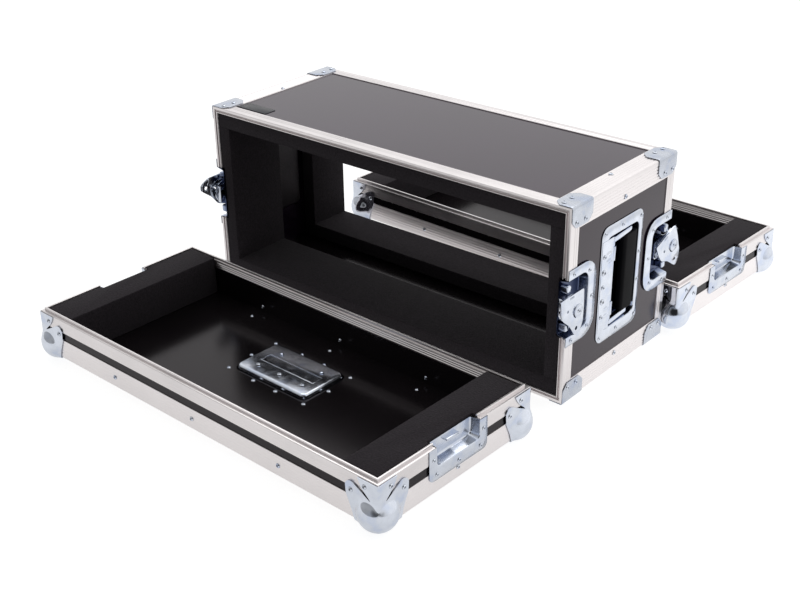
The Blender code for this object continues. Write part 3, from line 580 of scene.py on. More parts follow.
def plating(name, brightness, rough, bump, recess=False):
    """Blue zinc plating: cloudy, from pale to a deeper blue, with small differences in gloss.

    Where it lines a recess of the ends, painted shade darkens it to navy with the depth below the end face.
    """
    material, tree, shader, where = new_material(name)
    base = shade(colours().zinc, brightness)
    cloud = noise(tree, where, 48.0, 4.0)
    deep = tuple(np.array(base) * (0.85, 0.89, 0.98))
    tint = ramp(tree, cloud, [(0.34, deep), (0.50, base), (0.66, shade(base, 1.08))])
    if recess:
        face = sizes().width / 2
        level = worked(tree, "Math", "ABSOLUTE", linked(tree, "SeparateXYZ", where))[0]
        share = tree.nodes.new("ShaderNodeMapRange")
        preset(share, {"From Min": face - 0.0125, "From Max": face})
        tree.links.new(level, share.inputs["Value"])
        # Painted shade: navy deep in the pan, the plating's own colour at the end face
        depth = ramp(tree, share.outputs[0],
                     [(0.0, (0.10, 0.12, 0.19)), (0.55, (0.42, 0.47, 0.60)), (0.95, grey(1.0))])
        tint = worked(tree, "VectorMath", "MULTIPLY", tint, depth)["Vector"]
    tree.links.new(tint, shader.inputs["Base Color"])
    preset(shader, {"Metallic": 1.0})
    varied(tree, shader, "Roughness", noise(tree, where, 90.0, 3.0),
           [(0.3, grey(rough - 0.05)), (0.7, grey(rough + 0.06))])
    bumped(tree, shader, noise(tree, where, 160.0, 3.0), bump, 0.0003)
    return material


def zinc():
    """Plated dishes, hooks and wings."""
    return plating("zinc_finish", 1.0, 0.17, 0.10)


def recess_shade_zinc():
    """Plating of the dishes let into the sleeve's ends, with painted shade deepening to navy down into
    them.
    """
    return plating("recess_painted_shade_zinc_finish", 1.04, 0.17, 0.10, recess=True)


def brace_zinc():
    """Plated corner braces, duller than the dishes."""
    return plating("brace_zinc_finish", 0.86, 0.26, 0.08)


def bright_zinc():
    """Polished zinc on the handle's arms and the balls."""
    return plating("bright_zinc_finish", 1.08, 0.10, 0.05)


def dark_pin_and_painted_shade():
    """Dark steel of the broken pins in the blind rivets, used also as painted shade: in the rivets' pits,
    round their feet and on the backs of the sleeve's handle dishes.
    """
    return metal("pin_and_painted_shade_finish", (0.075, 0.07, 0.075), 0.42, 0.05, 0.2, 900.0, (3, 3, 3), 0.1)


def foam():
    """Charcoal closed-cell foam: matt, with open cut cells."""
    material, tree, shader, where = new_material("foam_finish")
    base = tuple(colours().foam)
    cells = tree.nodes.new("ShaderNodeTexVoronoi")
    cells.inputs["Scale"].default_value = 520.0
    tree.links.new(where, cells.inputs["Vector"])
    varied(tree, shader, "Base Color", noise(tree, where, 420.0, 3.0),
           [(0.3, shade(base, 0.7)), (0.7, shade(base, 1.45))])
    preset(shader, {"Roughness": 0.93, "Specular IOR Level": 0.16, "Sheen Weight": 0.05,
                    "Sheen Roughness": 0.6})
    bumped(tree, shader, cells.outputs["Distance"], 0.55, 0.0007)
    return material


def rubber():
    """Black moulded rubber with a fine matt grain."""
    material, tree, shader, where = new_material("rubber_finish")
    base = tuple(colours().rubber)
    varied(tree, shader, "Base Color", noise(tree, where, 30.0),
           [(0.3, shade(base, 0.8)), (0.7, shade(base, 1.3))])
    preset(shader, {"Roughness": 0.55, "Specular IOR Level": 0.06})
    bumped(tree, shader, noise(tree, where, 700.0), 0.2, 0.0002)
    return material


def plain_plate():
    """Dark anodised plate with a fine satin surface."""
    return metal("plain_plate_finish", (0.035, 0.036, 0.042), 0.36, 0.05, 0.15, 30.0, (1, 40, 1), 0.12)


# Finishes made so far, by their maker's name
MATERIALS = {}


def finish(maker):
    """Each finish is made once and shared."""
    if maker.__name__ not in MATERIALS:
        MATERIALS[maker.__name__] = maker()
    return MATERIALS[maker.__name__]


# Sections


def grooves(start, end, pitch=0.0045, half=0.0010, depth=0.0004):
    """Fine grooves along a flange: three points each, from one end to the other."""
    step = pitch if end > start else -pitch
    count = int((abs(end - start) - pitch) / pitch)
    middle = start + step * np.arange(1, count + 1)
    along = middle[:, None] + math.copysign(half, step) * np.array([-1.0, -0.2, 0.2, 1.0])
    sunk = np.broadcast_to([0.0, depth, depth, 0.0], along.shape)
    return np.column_stack([sunk.ravel(), along.ravel()])


def rim_section(tongue, depth=0.0005):
    """Rim extrusion as (inset, depth): ribbed outer flange, rounded lips and a groove or a tongue."""
    s = sizes()
    lip, small, half_round = 0.0006, 0.0004, ROUND / 2
    groove_out, groove_in, groove_floor = 0.0042, 0.0074, 0.0043
    inner_wall, inner_flange, web = 0.0009, 0.0135, 0.0066
    parts = [grooves(s.rim_flange, ROUND, depth=depth),
             arc(half_round, half_round, half_round, 180, 270, 5)]
    if tongue:
        out, back, top = groove_out + FIT, groove_in - FIT, lip - TONGUE
        parts += [[(out, 0.0)], arc(out + lip, top, lip, 180, 270, 4),
                  arc(back - lip, top, lip, 270, 360, 4), [(back, 0.0)]]
    else:
        parts += [arc(groove_out - lip, lip, lip, 270, 360, 4),
                  [(groove_out, groove_floor), (groove_in, groove_floor)],
                  arc(groove_in + small, small, small, 180, 270, 3)]
    inner = s.rim - inner_wall
    lines = grooves(0.0002, inner_flange, 0.0032, 0.0012, 0.0009)
    lines[:, 0] = s.rim + 0.0005 - lines[:, 0]
    parts += [arc(s.rim - small, small, small, 270, 360, 3), lines,
              [(s.rim, inner_flange), (inner, inner_flange), (inner, web), (s.wall, web),
               (s.wall, s.rim_flange), (0.0, s.rim_flange)]]
    return np.vstack(parts)


def angle_section(flange, wall, depth=0.0006):
    """Edge angle with a round corner at the origin and grooves along both legs."""
    down = grooves(flange, ROUND, depth=depth)
    across = grooves(ROUND, flange, depth=depth)[:, ::-1]
    return np.vstack([down, arc(ROUND, ROUND, ROUND, 180, 270, 6), across,
                      [(flange, 0.0), (flange, wall), (wall, wall), (wall, flange), (0.0, flange)]])


def bracket(half_x, half_y, stop, side):
    """Corners and mitres of a path round one half of a rectangle."""
    corners = np.array([(half_x, side * stop), (half_x, side * half_y), (-half_x, side * half_y),
                        (-half_x, side * stop)])
    mitres = np.array([(-1, 0), (-1, -side), (1, -side), (1, 0)], float)
    return corners, mitres


# Pressed pieces


def dish_shape(loop, pan, pan_radius, flange, flange_radius, depth, pan_x=0.0):
    """A pressed dish as one sheet: rings from its floor up the drafted wall and out over the flange.

    A ring is the pan's or the flange's outline grown by an offset. The floor is one flat face.
    """
    fillet, lip, draft, rolled = 0.0028, 0.0016, 0.002, 0.0005
    low = arc(-draft - fillet, fillet - depth, fillet, -90, -8, 5)
    high = arc(lip, -lip, lip, 180, 90, 5)
    steps = [(pan, pan_radius, pan_x, offset, z) for offset, z in (*low, *high)]
    steps += [(flange, flange_radius, 0.0, -rolled, 0.0), (flange, flange_radius, 0.0, 0.0, -rolled)]
    sides = 1 if loop is half_ring else 2
    rings = [lifted(loop(size[0] + sides * offset, size[1] + 2 * offset, radius + offset, x), z)
             for size, radius, x, offset, z in steps]
    shape = grid(np.stack(rings), wrap_columns=loop is ring)
    shape.faces.append(list(range(len(rings[0])))[::-1])
    return shape


def rivet_shape(radius):
    """Blind rivet's head: a low dome on a thin foot, with the pit that its broken pin lies in."""
    dome = arc(0, -radius * 0.75, radius * 1.30, 41, 66, 5)
    dome[:, 1] += 0.0003
    top = dome[-1]
    rows = [(radius * 1.06, -0.0004), (radius * 1.06, 0.00025), *dome, (top[0] * 0.88, top[1] - 0.0003),
            (top[0] * 0.80, top[1] - 0.0009)]
    return turned(rows, 18)


def rivets(points, place, radius=None, proud=0.0):
    """Rivet heads at (x, y) points of a surface, standing on its local Z, with dark pins and painted shade
    in the pit and round the foot.
    """
    radius = radius or sizes().rivet
    mesh = finished("rivet", rivet_shape(radius), sharp=40)
    centres = face_values(mesh, "center")
    away = np.hypot(centres[:, 0], centres[:, 1])
    # Dark faces: the pit's floor, partly the broken pin's own dark steel and partly painted shade in the
    # pit; and the foot's side, a painted contact shadow
    pin = ((away < radius * 0.2) & (centres[:, 2] > 0)) | (away > radius * 1.02)
    mesh.polygons.foreach_set("material_index", pin.astype(np.int32))
    made = [place_mesh(mesh, place @ shifted(x, y, proud)) for x, y in points]
    bpy.data.meshes.remove(mesh)
    return made


class CASE_OT_panels(Operator):
    """Gives the ply boards and trays their laminate, and adds the small plain plate."""

    bl_idname = "flight_case.panels"
    bl_label = "Boards and trays"

    def execute(self, context):
        boards = {"top_panel": top_laminate, "bottom_panel": tray_laminate, "left_panel": end_laminate,
                  "right_panel": end_laminate, "front_lid_tray": tray_laminate,
                  "rear_lid_tray": tray_laminate}
        for name, maker in boards.items():
            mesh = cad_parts[name].data
            mesh.materials.clear()
            mesh.materials.append(finish(maker))
        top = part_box("top_panel")[1][2]
        outline = ring(0.062, 0.0225, 0.0025, steps=5)
        plate = finished("plate", extruded(outline, 0.0, 0.0008), bevel=0.0002)
        place = shifted(-0.2615, -0.0915, top)
        add_piece("plain_plate", [place_mesh(plate, place)], finish(plain_plate), "sleeve")
        return {"FINISHED"}


class CASE_OT_sleeve_rims(Operator):
    """Adds the grooved rim extrusions round both openings of the sleeve."""

    bl_idname = "flight_case.sleeve_rims"
    bl_label = "Sleeve rims"

    def execute(self, context):
        s = sizes()
        for end, label in ((-1, "front"), (1, "rear")):
            for side, part in ((1, "upper"), (-1, "lower")):
                corners, mitres = bracket(s.width / 2, s.height / 2, 0.0415, side)
                rim = finished("rim", swept(rim_section(False), corners, mitres, False))
                add_piece(f"{label}_rim_{part}_extrusion", [place_mesh(rim, mouth_place(end))],
                          finish(rim_shaded_aluminium), "sleeve", [f"{label}_rim_{part}"])
        return {"FINISHED"}


class CASE_OT_edge_angles(Operator):
    """Adds the edge angles along the sleeve's four long corners."""

    bl_idname = "flight_case.edge_angles"
    bl_label = "Edge angles"

    def execute(self, context):
        s = sizes()
        section = angle_section(s.edge_flange, s.wall)
        half = s.depth / 2 - s.rim_flange - FIT
        angle = finished("angle", extruded(section, -half, half))
        for up, level in ((1, "top"), (-1, "bottom")):
            for side, hand in HANDS:
                origin = (side * s.width / 2, 0, SLEEVE_MID + up * s.height / 2)
                place = frame_of((-side, 0, 0), (0, 0, -up), (0, 1, 0), origin)
                braces = [place_mesh(mesh, place) for mesh in corner_braces()]
                add_piece(f"edge_angle_{level}_{hand}_extrusion", [place_mesh(angle, place)],
                          finish(aluminium), "sleeve", [f"edge_angle_{level}_{hand}"])
                add_piece(f"braces_{level}_{hand}", braces, finish(brace_zinc), "sleeve")
        return {"FINISHED"}


def corner_braces():
    """Bent braces over both ends of an edge angle, in the angle's section frame.

    The outer skin is a line that runs in along one leaf, round a bend and out along the other,
    carried along the case; towards a leaf's edge the line gets shorter, so the corners are clipped.
    """
    out, wide, length, clip = FLANGE_TOP, 0.0285, 0.046, 0.0095
    leaf = np.array([wide, wide - 0.0012, wide - clip * 0.55, wide - clip, 0.012, ROUND])
    first = np.column_stack([leaf, np.full(len(leaf), -out)])
    bend = arc(ROUND, ROUND, ROUND + out, 270, 180, 7)
    path = np.vstack([first[:-1], bend, first[::-1][1:, ::-1]])
    reach = np.maximum(path[:, 0], path[:, 1])
    short = np.clip((reach - (wide - clip)) / clip, 0, 1)
    half = length / 2 - clip * short ** 1.15
    t = np.linspace(-1, 1, 9)
    middle = sizes().depth / 2 - FIT - length / 2
    for sign in (-1, 1):
        shape = grid(lifted(path[:, None, :], sign * middle + half[:, None] * t[None, :]))
        yield finished("brace", shape, wall=PRESSED, bevel=0.0003, facing=(-1, -1, 0), sharp=40)


class CASE_OT_latch_dishes(Operator):
    """Adds the D-shaped latch dishes with the post that each wing turns on."""

    bl_idname = "flight_case.latch_dishes"
    bl_label = "Latch dishes"

    def execute(self, context):
        shape = dish_shape(half_ring, pan=(0.047, 0.080), pan_radius=0.014, flange=(0.064, 0.108),
                           flange_radius=0.026, depth=0.014)
        dish = finished("dish", shape, wall=PRESSED, facing=(0, 0, 1), sharp=50)
        post = finished("post", turned([(0.0045, -0.0135), (0.0043, -0.0125), (0.0038, -0.0112),
                                        (0.0038, -0.0059), (0.0024, -0.0059), (0.0024, -0.011)]))
        blocks = []
        for side in (1, -1):
            outline = [(-0.0105, side * 0.0215), (-0.0015, side * 0.0215), (-0.0015, side * 0.0325),
                       (-0.0085, side * 0.0325), (-0.0105, side * 0.0300)]
            blocks.append(extruded(outline[::side], -0.0145, -0.0022))
        guides = finished("guides", joined(blocks), bevel=0.0022, segments=4)
        for place in WING_TURN:
            at = latch_place(place)
            raised = at @ shifted(0, 0, FLANGE_TOP)
            hub = raised @ shifted(-LATCH_HUB, 0, 0)
            add_piece(f"latch_dish_{place}_pressing",
                      [place_mesh(dish, raised), place_mesh(post, hub), place_mesh(guides, raised)],
                      finish(recess_shade_zinc), "sleeve", [f"latch_dish_{place}"])
        return {"FINISHED"}


class CASE_OT_hook_plates(Operator):
    """Adds the sliding hook plates with their bent claws."""

    bl_idname = "flight_case.hook_plates"
    bl_label = "Hook plates"

    def execute(self, context):
        plate = finished("hook", hook_shape(), wall=0.0016, facing=(0, 0, 1), bevel=0.0003)
        for place in WING_TURN:
            middle = ECCENTRIC * (WING_TURN[place] / 90 - 1) - LATCH_HUB
            at = latch_place(place) @ shifted(middle, 0, -0.0044)
            add_piece(f"hook_plate_{place}_pressing", [place_mesh(plate, at)], finish(zinc),
                      f"hook_{place}", [f"hook_plate_{place}"])
        return {"FINISHED"}


def hook_shape():
    """Flat plate with a cross-shaped slot, then a strip that bends down into the claw."""
    end, half, bend = 0.0155, 0.013, 0.0022
    start = end - bend
    outline = [(start, half), (-end + 0.0026, half), (-end, half - 0.0026), (-end, 0.0026 - half),
               (-end + 0.0026, -half), (start, -half)]
    arm = [(0.0131, 0.0042), (0.0043, 0.0042), (0.0043, 0.0114)]
    slot = []
    for sx, sy in ((1, 1), (-1, 1), (-1, -1), (1, -1)):
        points = [(sx * x, sy * y) for x, y in arm]
        slot += points if sx * sy > 0 else points[::-1]
    path = np.vstack([arc(start, -bend, bend, 90, 0, 5), [(end, -0.0076)]])
    rows = np.empty((len(path), 2, 3))
    rows[:, :, 0], rows[:, :, 2] = path[:, :1], path[:, 1:]
    rows[:, :, 1] = half, -half
    return joined([sheet(outline, [slot]), grid(rows)])


# Outline of a wing in millimetres, from its pivot: tail, waist and tip
WING_OUTLINE = [(-26, 20), (-23.5, 3), (-19, -10), (-5, -21), (9, -39.5), (12.5, -42.5), (18, -42),
                (22, -38), (27.5, -26), (28, 0), (26.5, 19), (24.5, 20.5)]


class CASE_OT_latch_wings(Operator):
    """Adds the stamped latch wings with hinge barrel, spring, cam disc and neck."""

    bl_idname = "flight_case.latch_wings"
    bl_label = "Latch wings"

    def execute(self, context):
        outline = smooth_outline(np.array(WING_OUTLINE) / 1000, 0.003)
        crescent = np.vstack([arc(0.0149, -0.006, 0.0112, 135, 245, 9),
                              arc(0.0149, -0.006, 0.0090, 245, 135, 9)])
        holes = [circle(0.0028, 0.0126, -0.0315), circle(0.0021, -0.0086, 0.0), crescent]
        leaf = finished("leaf", sheet(outline, holes, 0.0035), wall=0.0016, bevel=0.0003, facing=(0, 0, 1))
        boss = turned([(0.0088, 0.0030), (0.0088, 0.0040), (0.0080, 0.0047), (0.0050, 0.0049)], 28)
        boss_at = (0.0149, -0.007)
        neck = turned([(0.0075, -0.0041), (0.0075, 0.0027)], 24)
        disc = turned([(0.0180, -0.0041), (0.0180, -0.0024), (0.0177, -0.0021)], 40)
        pivot = turned([(0.0020, -0.0113), (0.0020, -0.0031)], 12)
        parts = [moved(boss, shifted(*boss_at, 0)), neck, disc, pivot]
        for place in WING_TURN:
            side, end = side_and_end(place)
            hub = (side * sizes().width / 2, end * (sizes().depth / 2 - LATCH_HUB), SLEEVE_MID)
            at = frame_of((0, side, 0), (0, 0, 1), (side, 0, 0), hub) @ spun(end * side * WING_TURN[place])
            pin = moved(turned([(0.0020, -0.0063), (0.0020, -0.0031)], 12),
                        shifted(-end * side * ECCENTRIC, 0, 0))
            shape = joined(parts + [pin, barrel_shape(), spring_shape()])
            rivet = rivets([boss_at], at, 0.0032, proud=0.0047)
            body = finished("cam", shape, sharp=40)
            add_piece(f"latch_wing_{place}_pressing", [place_mesh(leaf, at), place_mesh(body, at)] + rivet,
                      finish(zinc), f"wing_{place}", [f"latch_wing_{place}"])
        return {"FINISHED"}


def barrel_shape():
    """Rolled hinge barrel: a turned rod with knuckles parted by narrow grooves."""
    cuts = []
    for x in (-0.0105, 0.0105):
        cuts += [(0.0030, x - 0.0004), (0.0025, x - 0.0003), (0.0025, x + 0.0003), (0.0030, x + 0.0004)]
    profile = [(0.0020, -0.0192), (0.0028, -0.0190), (0.0030, -0.0186)] + cuts
    profile += [(0.0030, 0.0186), (0.0028, 0.0190), (0.0020, 0.0192)]
    return moved(turned(profile, 18), along_x(BARREL, 0.0005))


def spring_shape():
    """Torsion spring round the barrel: a small circle carried along a helix."""
    turns, wire, coil = 7, 0.00055, 0.0031
    t = np.linspace(0, turns * 2 * np.pi, turns * 14)
    v = np.linspace(0, 2 * np.pi, 7)[:-1]
    out = coil + wire * np.cos(v)[None, :]
    x = (t / t[-1] - 0.5)[:, None] * 0.0095 + wire * np.sin(v)[None, :]
    points = np.stack([x, out * np.cos(t)[:, None], out * np.sin(t)[:, None]], axis=2)
    points += np.array([0, BARREL, 0.0006])
    return grid(points, False, True, caps=True)


class CASE_OT_handle_dishes(Operator):
    """Adds the recessed handle dishes with their hinge strips."""

    bl_idname = "flight_case.handle_dishes"
    bl_label = "Handle dishes"

    def execute(self, context):
        shape = dish_shape(ring, pan=(0.080, 0.134), pan_radius=0.010, flange=(0.101, 0.168),
                           flange_radius=0.014, depth=0.013, pan_x=0.002)
        dish = finished("dish", shape, wall=PRESSED, facing=(0, 0, 1), sharp=50)
        strip = finished("strip", hinge_strip(), wall=0.0010, facing=(0, 0, 1), bevel=0.0002)
        knuckles = finished("knuckles", joined([knuckle(1), knuckle(-1)]), sharp=40)
        # The sleeve's dishes give their back faces, seen from inside the sleeve, the dark pin metal as
        # painted shade
        back_shaded_dish = dish.copy()
        back = (face_values(back_shaded_dish, "normal")[:, 2] < -0.2).astype(np.int32)
        back_shaded_dish.polygons.foreach_set("material_index", back)
        for name, (at, body, _) in handle_places().items():
            raised = at @ shifted(0, 0, FIT)
            pan = dish if name == "front_lid" else back_shaded_dish
            made = [place_mesh(pan, raised), place_mesh(strip, at), place_mesh(knuckles, at)]
            if name == "front_lid":
                made += pan_back(at)
            made += rivets([(-0.0430, y) for y in (-0.0435, 0.0, 0.0435)], at, proud=0.0009)
            made += rivets([(-0.0425, y) for y in (-0.021, 0.021)], at, 0.0040, proud=0.0009)
            add_piece(f"{name}_handle_dish_pressing", made,
                      finish(zinc if name == "front_lid" else recess_shade_zinc), body,
                      [f"{name}_handle_dish"])
        return {"FINISHED"}


def pan_back(at):
    """What shows on the back of the lid's pan: a pressed frame, three hollow rivets and two domes."""
    line = arc(0, 0, 0.0007, 0, 180, 5) * (1, 0.6)
    corners = np.array([(0.012, 0.052), (-0.006, 0.052), (-0.006, -0.048), (0.012, -0.048)])
    mitres = np.array([(1, 1), (-1, 1), (-1, -1), (1, -1)], float)
    frame_line = finished("frame_line", swept(line, corners, mitres, True))
    back = (0, 0, -0.0138)
    made = [place_mesh(frame_line, at @ shifted(*back))]
    under = at @ frame_of((1, 0, 0), (0, -1, 0), (0, 0, -1), back)
    made += rivets([(-0.0185, y) for y in (0.040, -0.0015, -0.045)], under, 0.0034, proud=0.0004)
    dome = finished("dome", turned([(0.0030, -0.0004), (0.0024, 0.0012), (0.0010, 0.0018)], 14))
    made += [place_mesh(dome, under @ shifted(0.0215, y, 0)) for y in (0.036, -0.0415)]
    return made


def hinge_strip():
    """Strip over one side of the dish, with two bumps pressed up beside each knuckle.

    A bump's height is the exponential of minus the square of a sum of squares: flat on top, steep at
    its side. Low waves between the knuckles follow the same rule, repeated every 16 mm.
    """
    x = np.concatenate([np.linspace(-0.0492, -0.0455, 3), np.linspace(-0.0445, -0.0228, 23)])
    y = np.linspace(-0.0655, 0.0655, 132)
    grid_x, grid_y = np.meshgrid(x, y, indexing="ij")
    height = np.full(grid_x.shape, 0.0009)
    for middle in (-KNUCKLE, KNUCKLE):
        for offset in (-0.0052, 0.0052):
            far = ((grid_x + 0.0325) / 0.0062) ** 2 + ((grid_y - middle - offset) / 0.0028) ** 2
            height += 0.0011 * np.exp(-far ** 2)
    far = ((grid_x + 0.0325) / 0.0045) ** 2 + (np.mod(grid_y + 0.008, 0.016) / 0.008 - 1) ** 2 * 9
    height += 0.0006 * np.exp(-far ** 2) * (np.abs(grid_y) < 0.028)
    return grid(np.stack([grid_x, grid_y, height], axis=2))


def knuckle(sign):
    """Rolled knuckle round the pivot rod: a profile turned about the rod's axis."""
    middle = sign * KNUCKLE
    profile = [(0.0030, middle - 0.010), (0.0040, middle - 0.010), (0.0042, middle - 0.0096),
               (0.0042, middle + 0.0096), (0.0040, middle + 0.010), (0.0030, middle + 0.010)]
    return moved(turned(profile, 20), along_y(*HANDLE_ROD))


class CASE_OT_handle_bails(Operator):
    """Adds the steel frames of the handles."""

    bl_idname = "flight_case.handle_bails"
    bl_label = "Handle bails"

    def execute(self, context):
        (rod_x, rod_z), (core_x, core_z) = HANDLE_ROD, HANDLE_CORE
        rod = turned([(0.0025, -0.0584), (0.0025, 0.0584)])
        rods = finished("rods", joined([moved(rod, along_y(*at)) for at in (HANDLE_ROD, HANDLE_CORE)]),
                        sharp=40)
        slope = math.atan2(core_z - rod_z, core_x - rod_x)
        middle = ((core_x + rod_x) / 2, 0, (core_z + rod_z) / 2)
        lean = frame_of((math.cos(slope), 0, math.sin(slope)), (math.sin(slope), 0, -math.cos(slope)),
                        (0, 1, 0), middle)
        arm_width, arm_height = 0.0070, 0.0085
        outline = ring(core_x - rod_x + arm_height, arm_height, 0.0040)
        arms = []
        for sign in (1, -1):
            low = sign * 0.0599 - arm_width / 2
            arms.append(moved(extruded(outline, low, low + arm_width), lean))
        arms = finished("arms", joined(arms), bevel=0.0016, segments=4, sharp=40)
        for name, (at, _, body) in handle_places().items():
            add_piece(f"{name}_handle_bail_frame", [place_mesh(rods, at), place_mesh(arms, at)],
                      finish(bright_zinc), body, [f"{name}_handle_bail"])
        return {"FINISHED"}


class CASE_OT_handle_grips(Operator):
    """Adds the moulded rubber grips."""

    bl_idname = "flight_case.handle_grips"
    bl_label = "Handle grips"

    def execute(self, context):
        width, height = 0.030, 0.0115
        flat = ring(width, height, 0.0046, steps=7)
        # Half of the stations along the grip, and how far its outline draws in at each
        along = np.array([0.0, 0.030, 0.0540, 0.0550, 0.0557, 0.0560])
        inset = np.array([0.0, 0.0, 0.0, 0.0, 0.0004, 0.0012])
        along = np.concatenate([-along[:0:-1], along])
        inset = np.concatenate([inset[:0:-1], inset])
        scale = 1 - inset[:, None, None] / (width / 2, height / 2)
        rows = lifted(flat * scale, along[:, None])
        grip = finished("grip", moved(grid(rows, False, True, caps=True), along_y(*HANDLE_CORE)), sharp=40)
        for name, (at, _, body) in handle_places().items():
            add_piece(f"{name}_handle_grip_moulding", [place_mesh(grip, at)], finish(rubber), body,
                      [f"{name}_handle_grip"])
        return {"FINISHED"}


class CASE_OT_foam_linings(Operator):
    """Adds the sleeve's foam linings, four strips butted into each ring."""

    bl_idname = "flight_case.foam_linings"
    bl_label = "Foam linings"

    def execute(self, context):
        s = sizes()
        outer_x, outer_z = s.width / 2 - s.rim - FIT, s.height / 2 - s.rim - FIT
        for label, start, end in (("front", -0.124, -0.022), ("rear", 0.050, 0.124)):
            strips = []
            for up in (1, -1):
                outline = smooth_outline([(start, outer_z - s.foam), (end, outer_z - s.foam),
                                          (end, outer_z), (start, outer_z)], 0.0012, 3)
                place = frame_of((0, 1, 0), (0, 0, up), (1, 0, 0), (0, 0, SLEEVE_MID))
                strips.append(moved(extruded(outline, -outer_x, outer_x), place))
            for side in (1, -1):
                strips.append(side_strip(side, outer_x, outer_z - s.foam - 0.0001, start, end))
            meshes = [finished("strip", strip, sharp=40) for strip in strips]
            piece = add_piece(f"{label}_foam_lining_strips", meshes, finish(foam), "sleeve",
                              [f"{label}_foam_lining"])
        return {"FINISHED"}


def side_strip(side, outer, high, start, end):
    """Upright strip whose outer face steps in where the latch pan and the handle pan come through.

    Every level has the same ten-point outline, with its outer points moved in by the pocket's depth.
    """
    inner, pocket = outer - sizes().foam, 0.0055
    step = -0.0445 if start < 0 else 0.079
    levels = np.array([-high, -0.0700, -0.0698, -0.0420, -0.0418, 0.0418, 0.0420, 0.0698, 0.0700, high])
    latch = np.abs(levels) < 0.0419
    handle = (np.abs(levels) < 0.0699) & (start < 0)
    near = outer - pocket * (latch if start < 0 else 0)
    far = outer - pocket * ((handle | latch) if start < 0 else latch)
    near, far = np.broadcast_to(near, levels.shape), np.broadcast_to(far, levels.shape)
    corner = 0.0012
    fixed = [(inner, start + corner), (inner + corner * 0.3, start + corner * 0.3), (inner + corner, start)]
    rows = np.empty((len(levels), 10, 3))
    rows[:, :3, :2] = fixed
    for column, (x, y) in enumerate(((near, start), (near, step), (far, step), (far, end)), 3):
        rows[:, column, 0], rows[:, column, 1] = x, y
    rows[:, 7:, :2] = [(inner + corner, end), (inner + corner * 0.3, end - corner * 0.3),
                       (inner, end - corner)]
    rows[:, :, 2] = levels[:, None] + SLEEVE_MID
    rows[:, :, 0] *= side
    return grid(rows, False, True, caps=True)


class CASE_OT_lid_edges(Operator):
    """Adds the edge angles round the face of each lid."""

    bl_idname = "flight_case.lid_edges"
    bl_label = "Lid edges"

    def execute(self, context):
        s = sizes()
        section = angle_section(s.edge_flange, s.wall, LID_RIB)
        section[:, 1] *= -1
        lengths = []
        clear = 0.0137
        for half, reach, turn in ((s.width / 2, s.height / 2, 0), (s.height / 2, s.width / 2, 90)):
            for sign in (1, -1):
                corners = np.array([(half - clear, -sign * reach), (clear - half, -sign * reach)])
                length = swept(section, corners, np.array([(0, sign), (0, sign)], float), False)
                lengths.append(moved(length, spun(turn)))
        edge = finished("edge", joined(lengths))
        for lid in LIDS:
            add_piece(f"{lid}_base_edge_extrusion", [place_mesh(edge, lid_place(lid))], finish(aluminium),
                      lid, [f"{lid}_base_edge"])
        return {"FINISHED"}


class CASE_OT_lid_rims(Operator):
    """Adds the tongued rim extrusions round the mouth of each lid."""

    bl_idname = "flight_case.lid_rims"
    bl_label = "Lid rims"

    def execute(self, context):
        s = sizes()
        mouth = shifted(0, 0, LID_MOUTH)
        for lid in LIDS:
            for side, part in ((-1, "near"), (1, "far")):
                corners, mitres = bracket(s.width / 2, s.height / 2, 0.0405, side)
                rim = finished("rim", swept(rim_section(True, LID_RIB), corners, mitres, False))
                add_piece(f"{lid}_rim_{part}_extrusion", [place_mesh(rim, lid_place(lid) @ mouth)],
                          finish(rim_shaded_aluminium), lid, [f"{lid}_rim_{part}"])
        return {"FINISHED"}


class CASE_OT_keeper_dishes(Operator):
    """Adds the keeper dishes with the lug that a hook's claw pulls on."""

    bl_idname = "flight_case.keeper_dishes"
    bl_label = "Keeper dishes"

    def execute(self, context):
        shape = dish_shape(half_ring, pan=(0.026, 0.078), pan_radius=0.007, flange=(0.044, 0.106),
                           flange_radius=0.008, depth=0.014)
        dish = finished("dish", shape, wall=PRESSED, facing=(0, 0, 1), sharp=50)
        outline = [(-0.009, -0.0131), (-0.0063, -0.0131), (-0.0063, -0.0081), (-0.009, -0.0081)]
        lug = moved(extruded(outline, -0.011, 0.011), frame_of((1, 0, 0), (0, 0, 1), (0, 1, 0), (0, 0, 0)))
        lug = finished("lug", lug, bevel=0.0004)
        for lid in LIDS:
            for side, hand in HANDS:
                at = keeper_place(lid, side)
                raised = at @ shifted(0, 0, FLANGE_TOP)
                add_piece(f"{lid}_keeper_dish_{hand}_pressing",
                          [place_mesh(dish, raised), place_mesh(lug, at)], finish(zinc), lid,
                          [f"{lid}_keeper_dish_{hand}"])
        return {"FINISHED"}


class CASE_OT_ball_corners(Operator):
    """Adds the pressed ball corners of the lids."""

    bl_idname = "flight_case.ball_corners"
    bl_label = "Ball corners"

    def execute(self, context):
        corner = finished("corner", ball_corner_shape(), wall=PRESSED, facing=(-1, -1, -1), sharp=48)
        for lid in LIDS:
            for name, signs in CORNERS.items():
                place = lid_place(lid) @ corner_place(signs)
                add_piece(f"{lid}_ball_corner_{name}_pressing", [place_mesh(corner, place)],
                          finish(bright_zinc), lid, [f"{lid}_ball_corner_{name}"])
        return {"FINISHED"}


def ball_corner_shape():
    """Three leaves on the corner's faces, swollen into a ball.

    A point of a leaf is first drawn onto a small round along the box's edges, then pushed straight out
    from the ball's centre by the smooth maximum of its own distance and the ball's radius.
    """
    samples = np.concatenate([np.linspace(-CORNER_OUT, 0.010, 9), np.linspace(0.0125, 0.036, 14)])
    side = side_leaf_rows(samples)
    base = lifted(np.stack(np.meshgrid(samples, samples, indexing="ij"), axis=-1), -CORNER_OUT)
    base[..., :2] -= np.maximum(base[..., :1] + base[..., 1:2] - 0.058, 0) / 2
    leaves = side + [points[..., [1, 0, 2]] for points in side] + [base]
    return joined([grid(swollen(points)) for points in leaves])


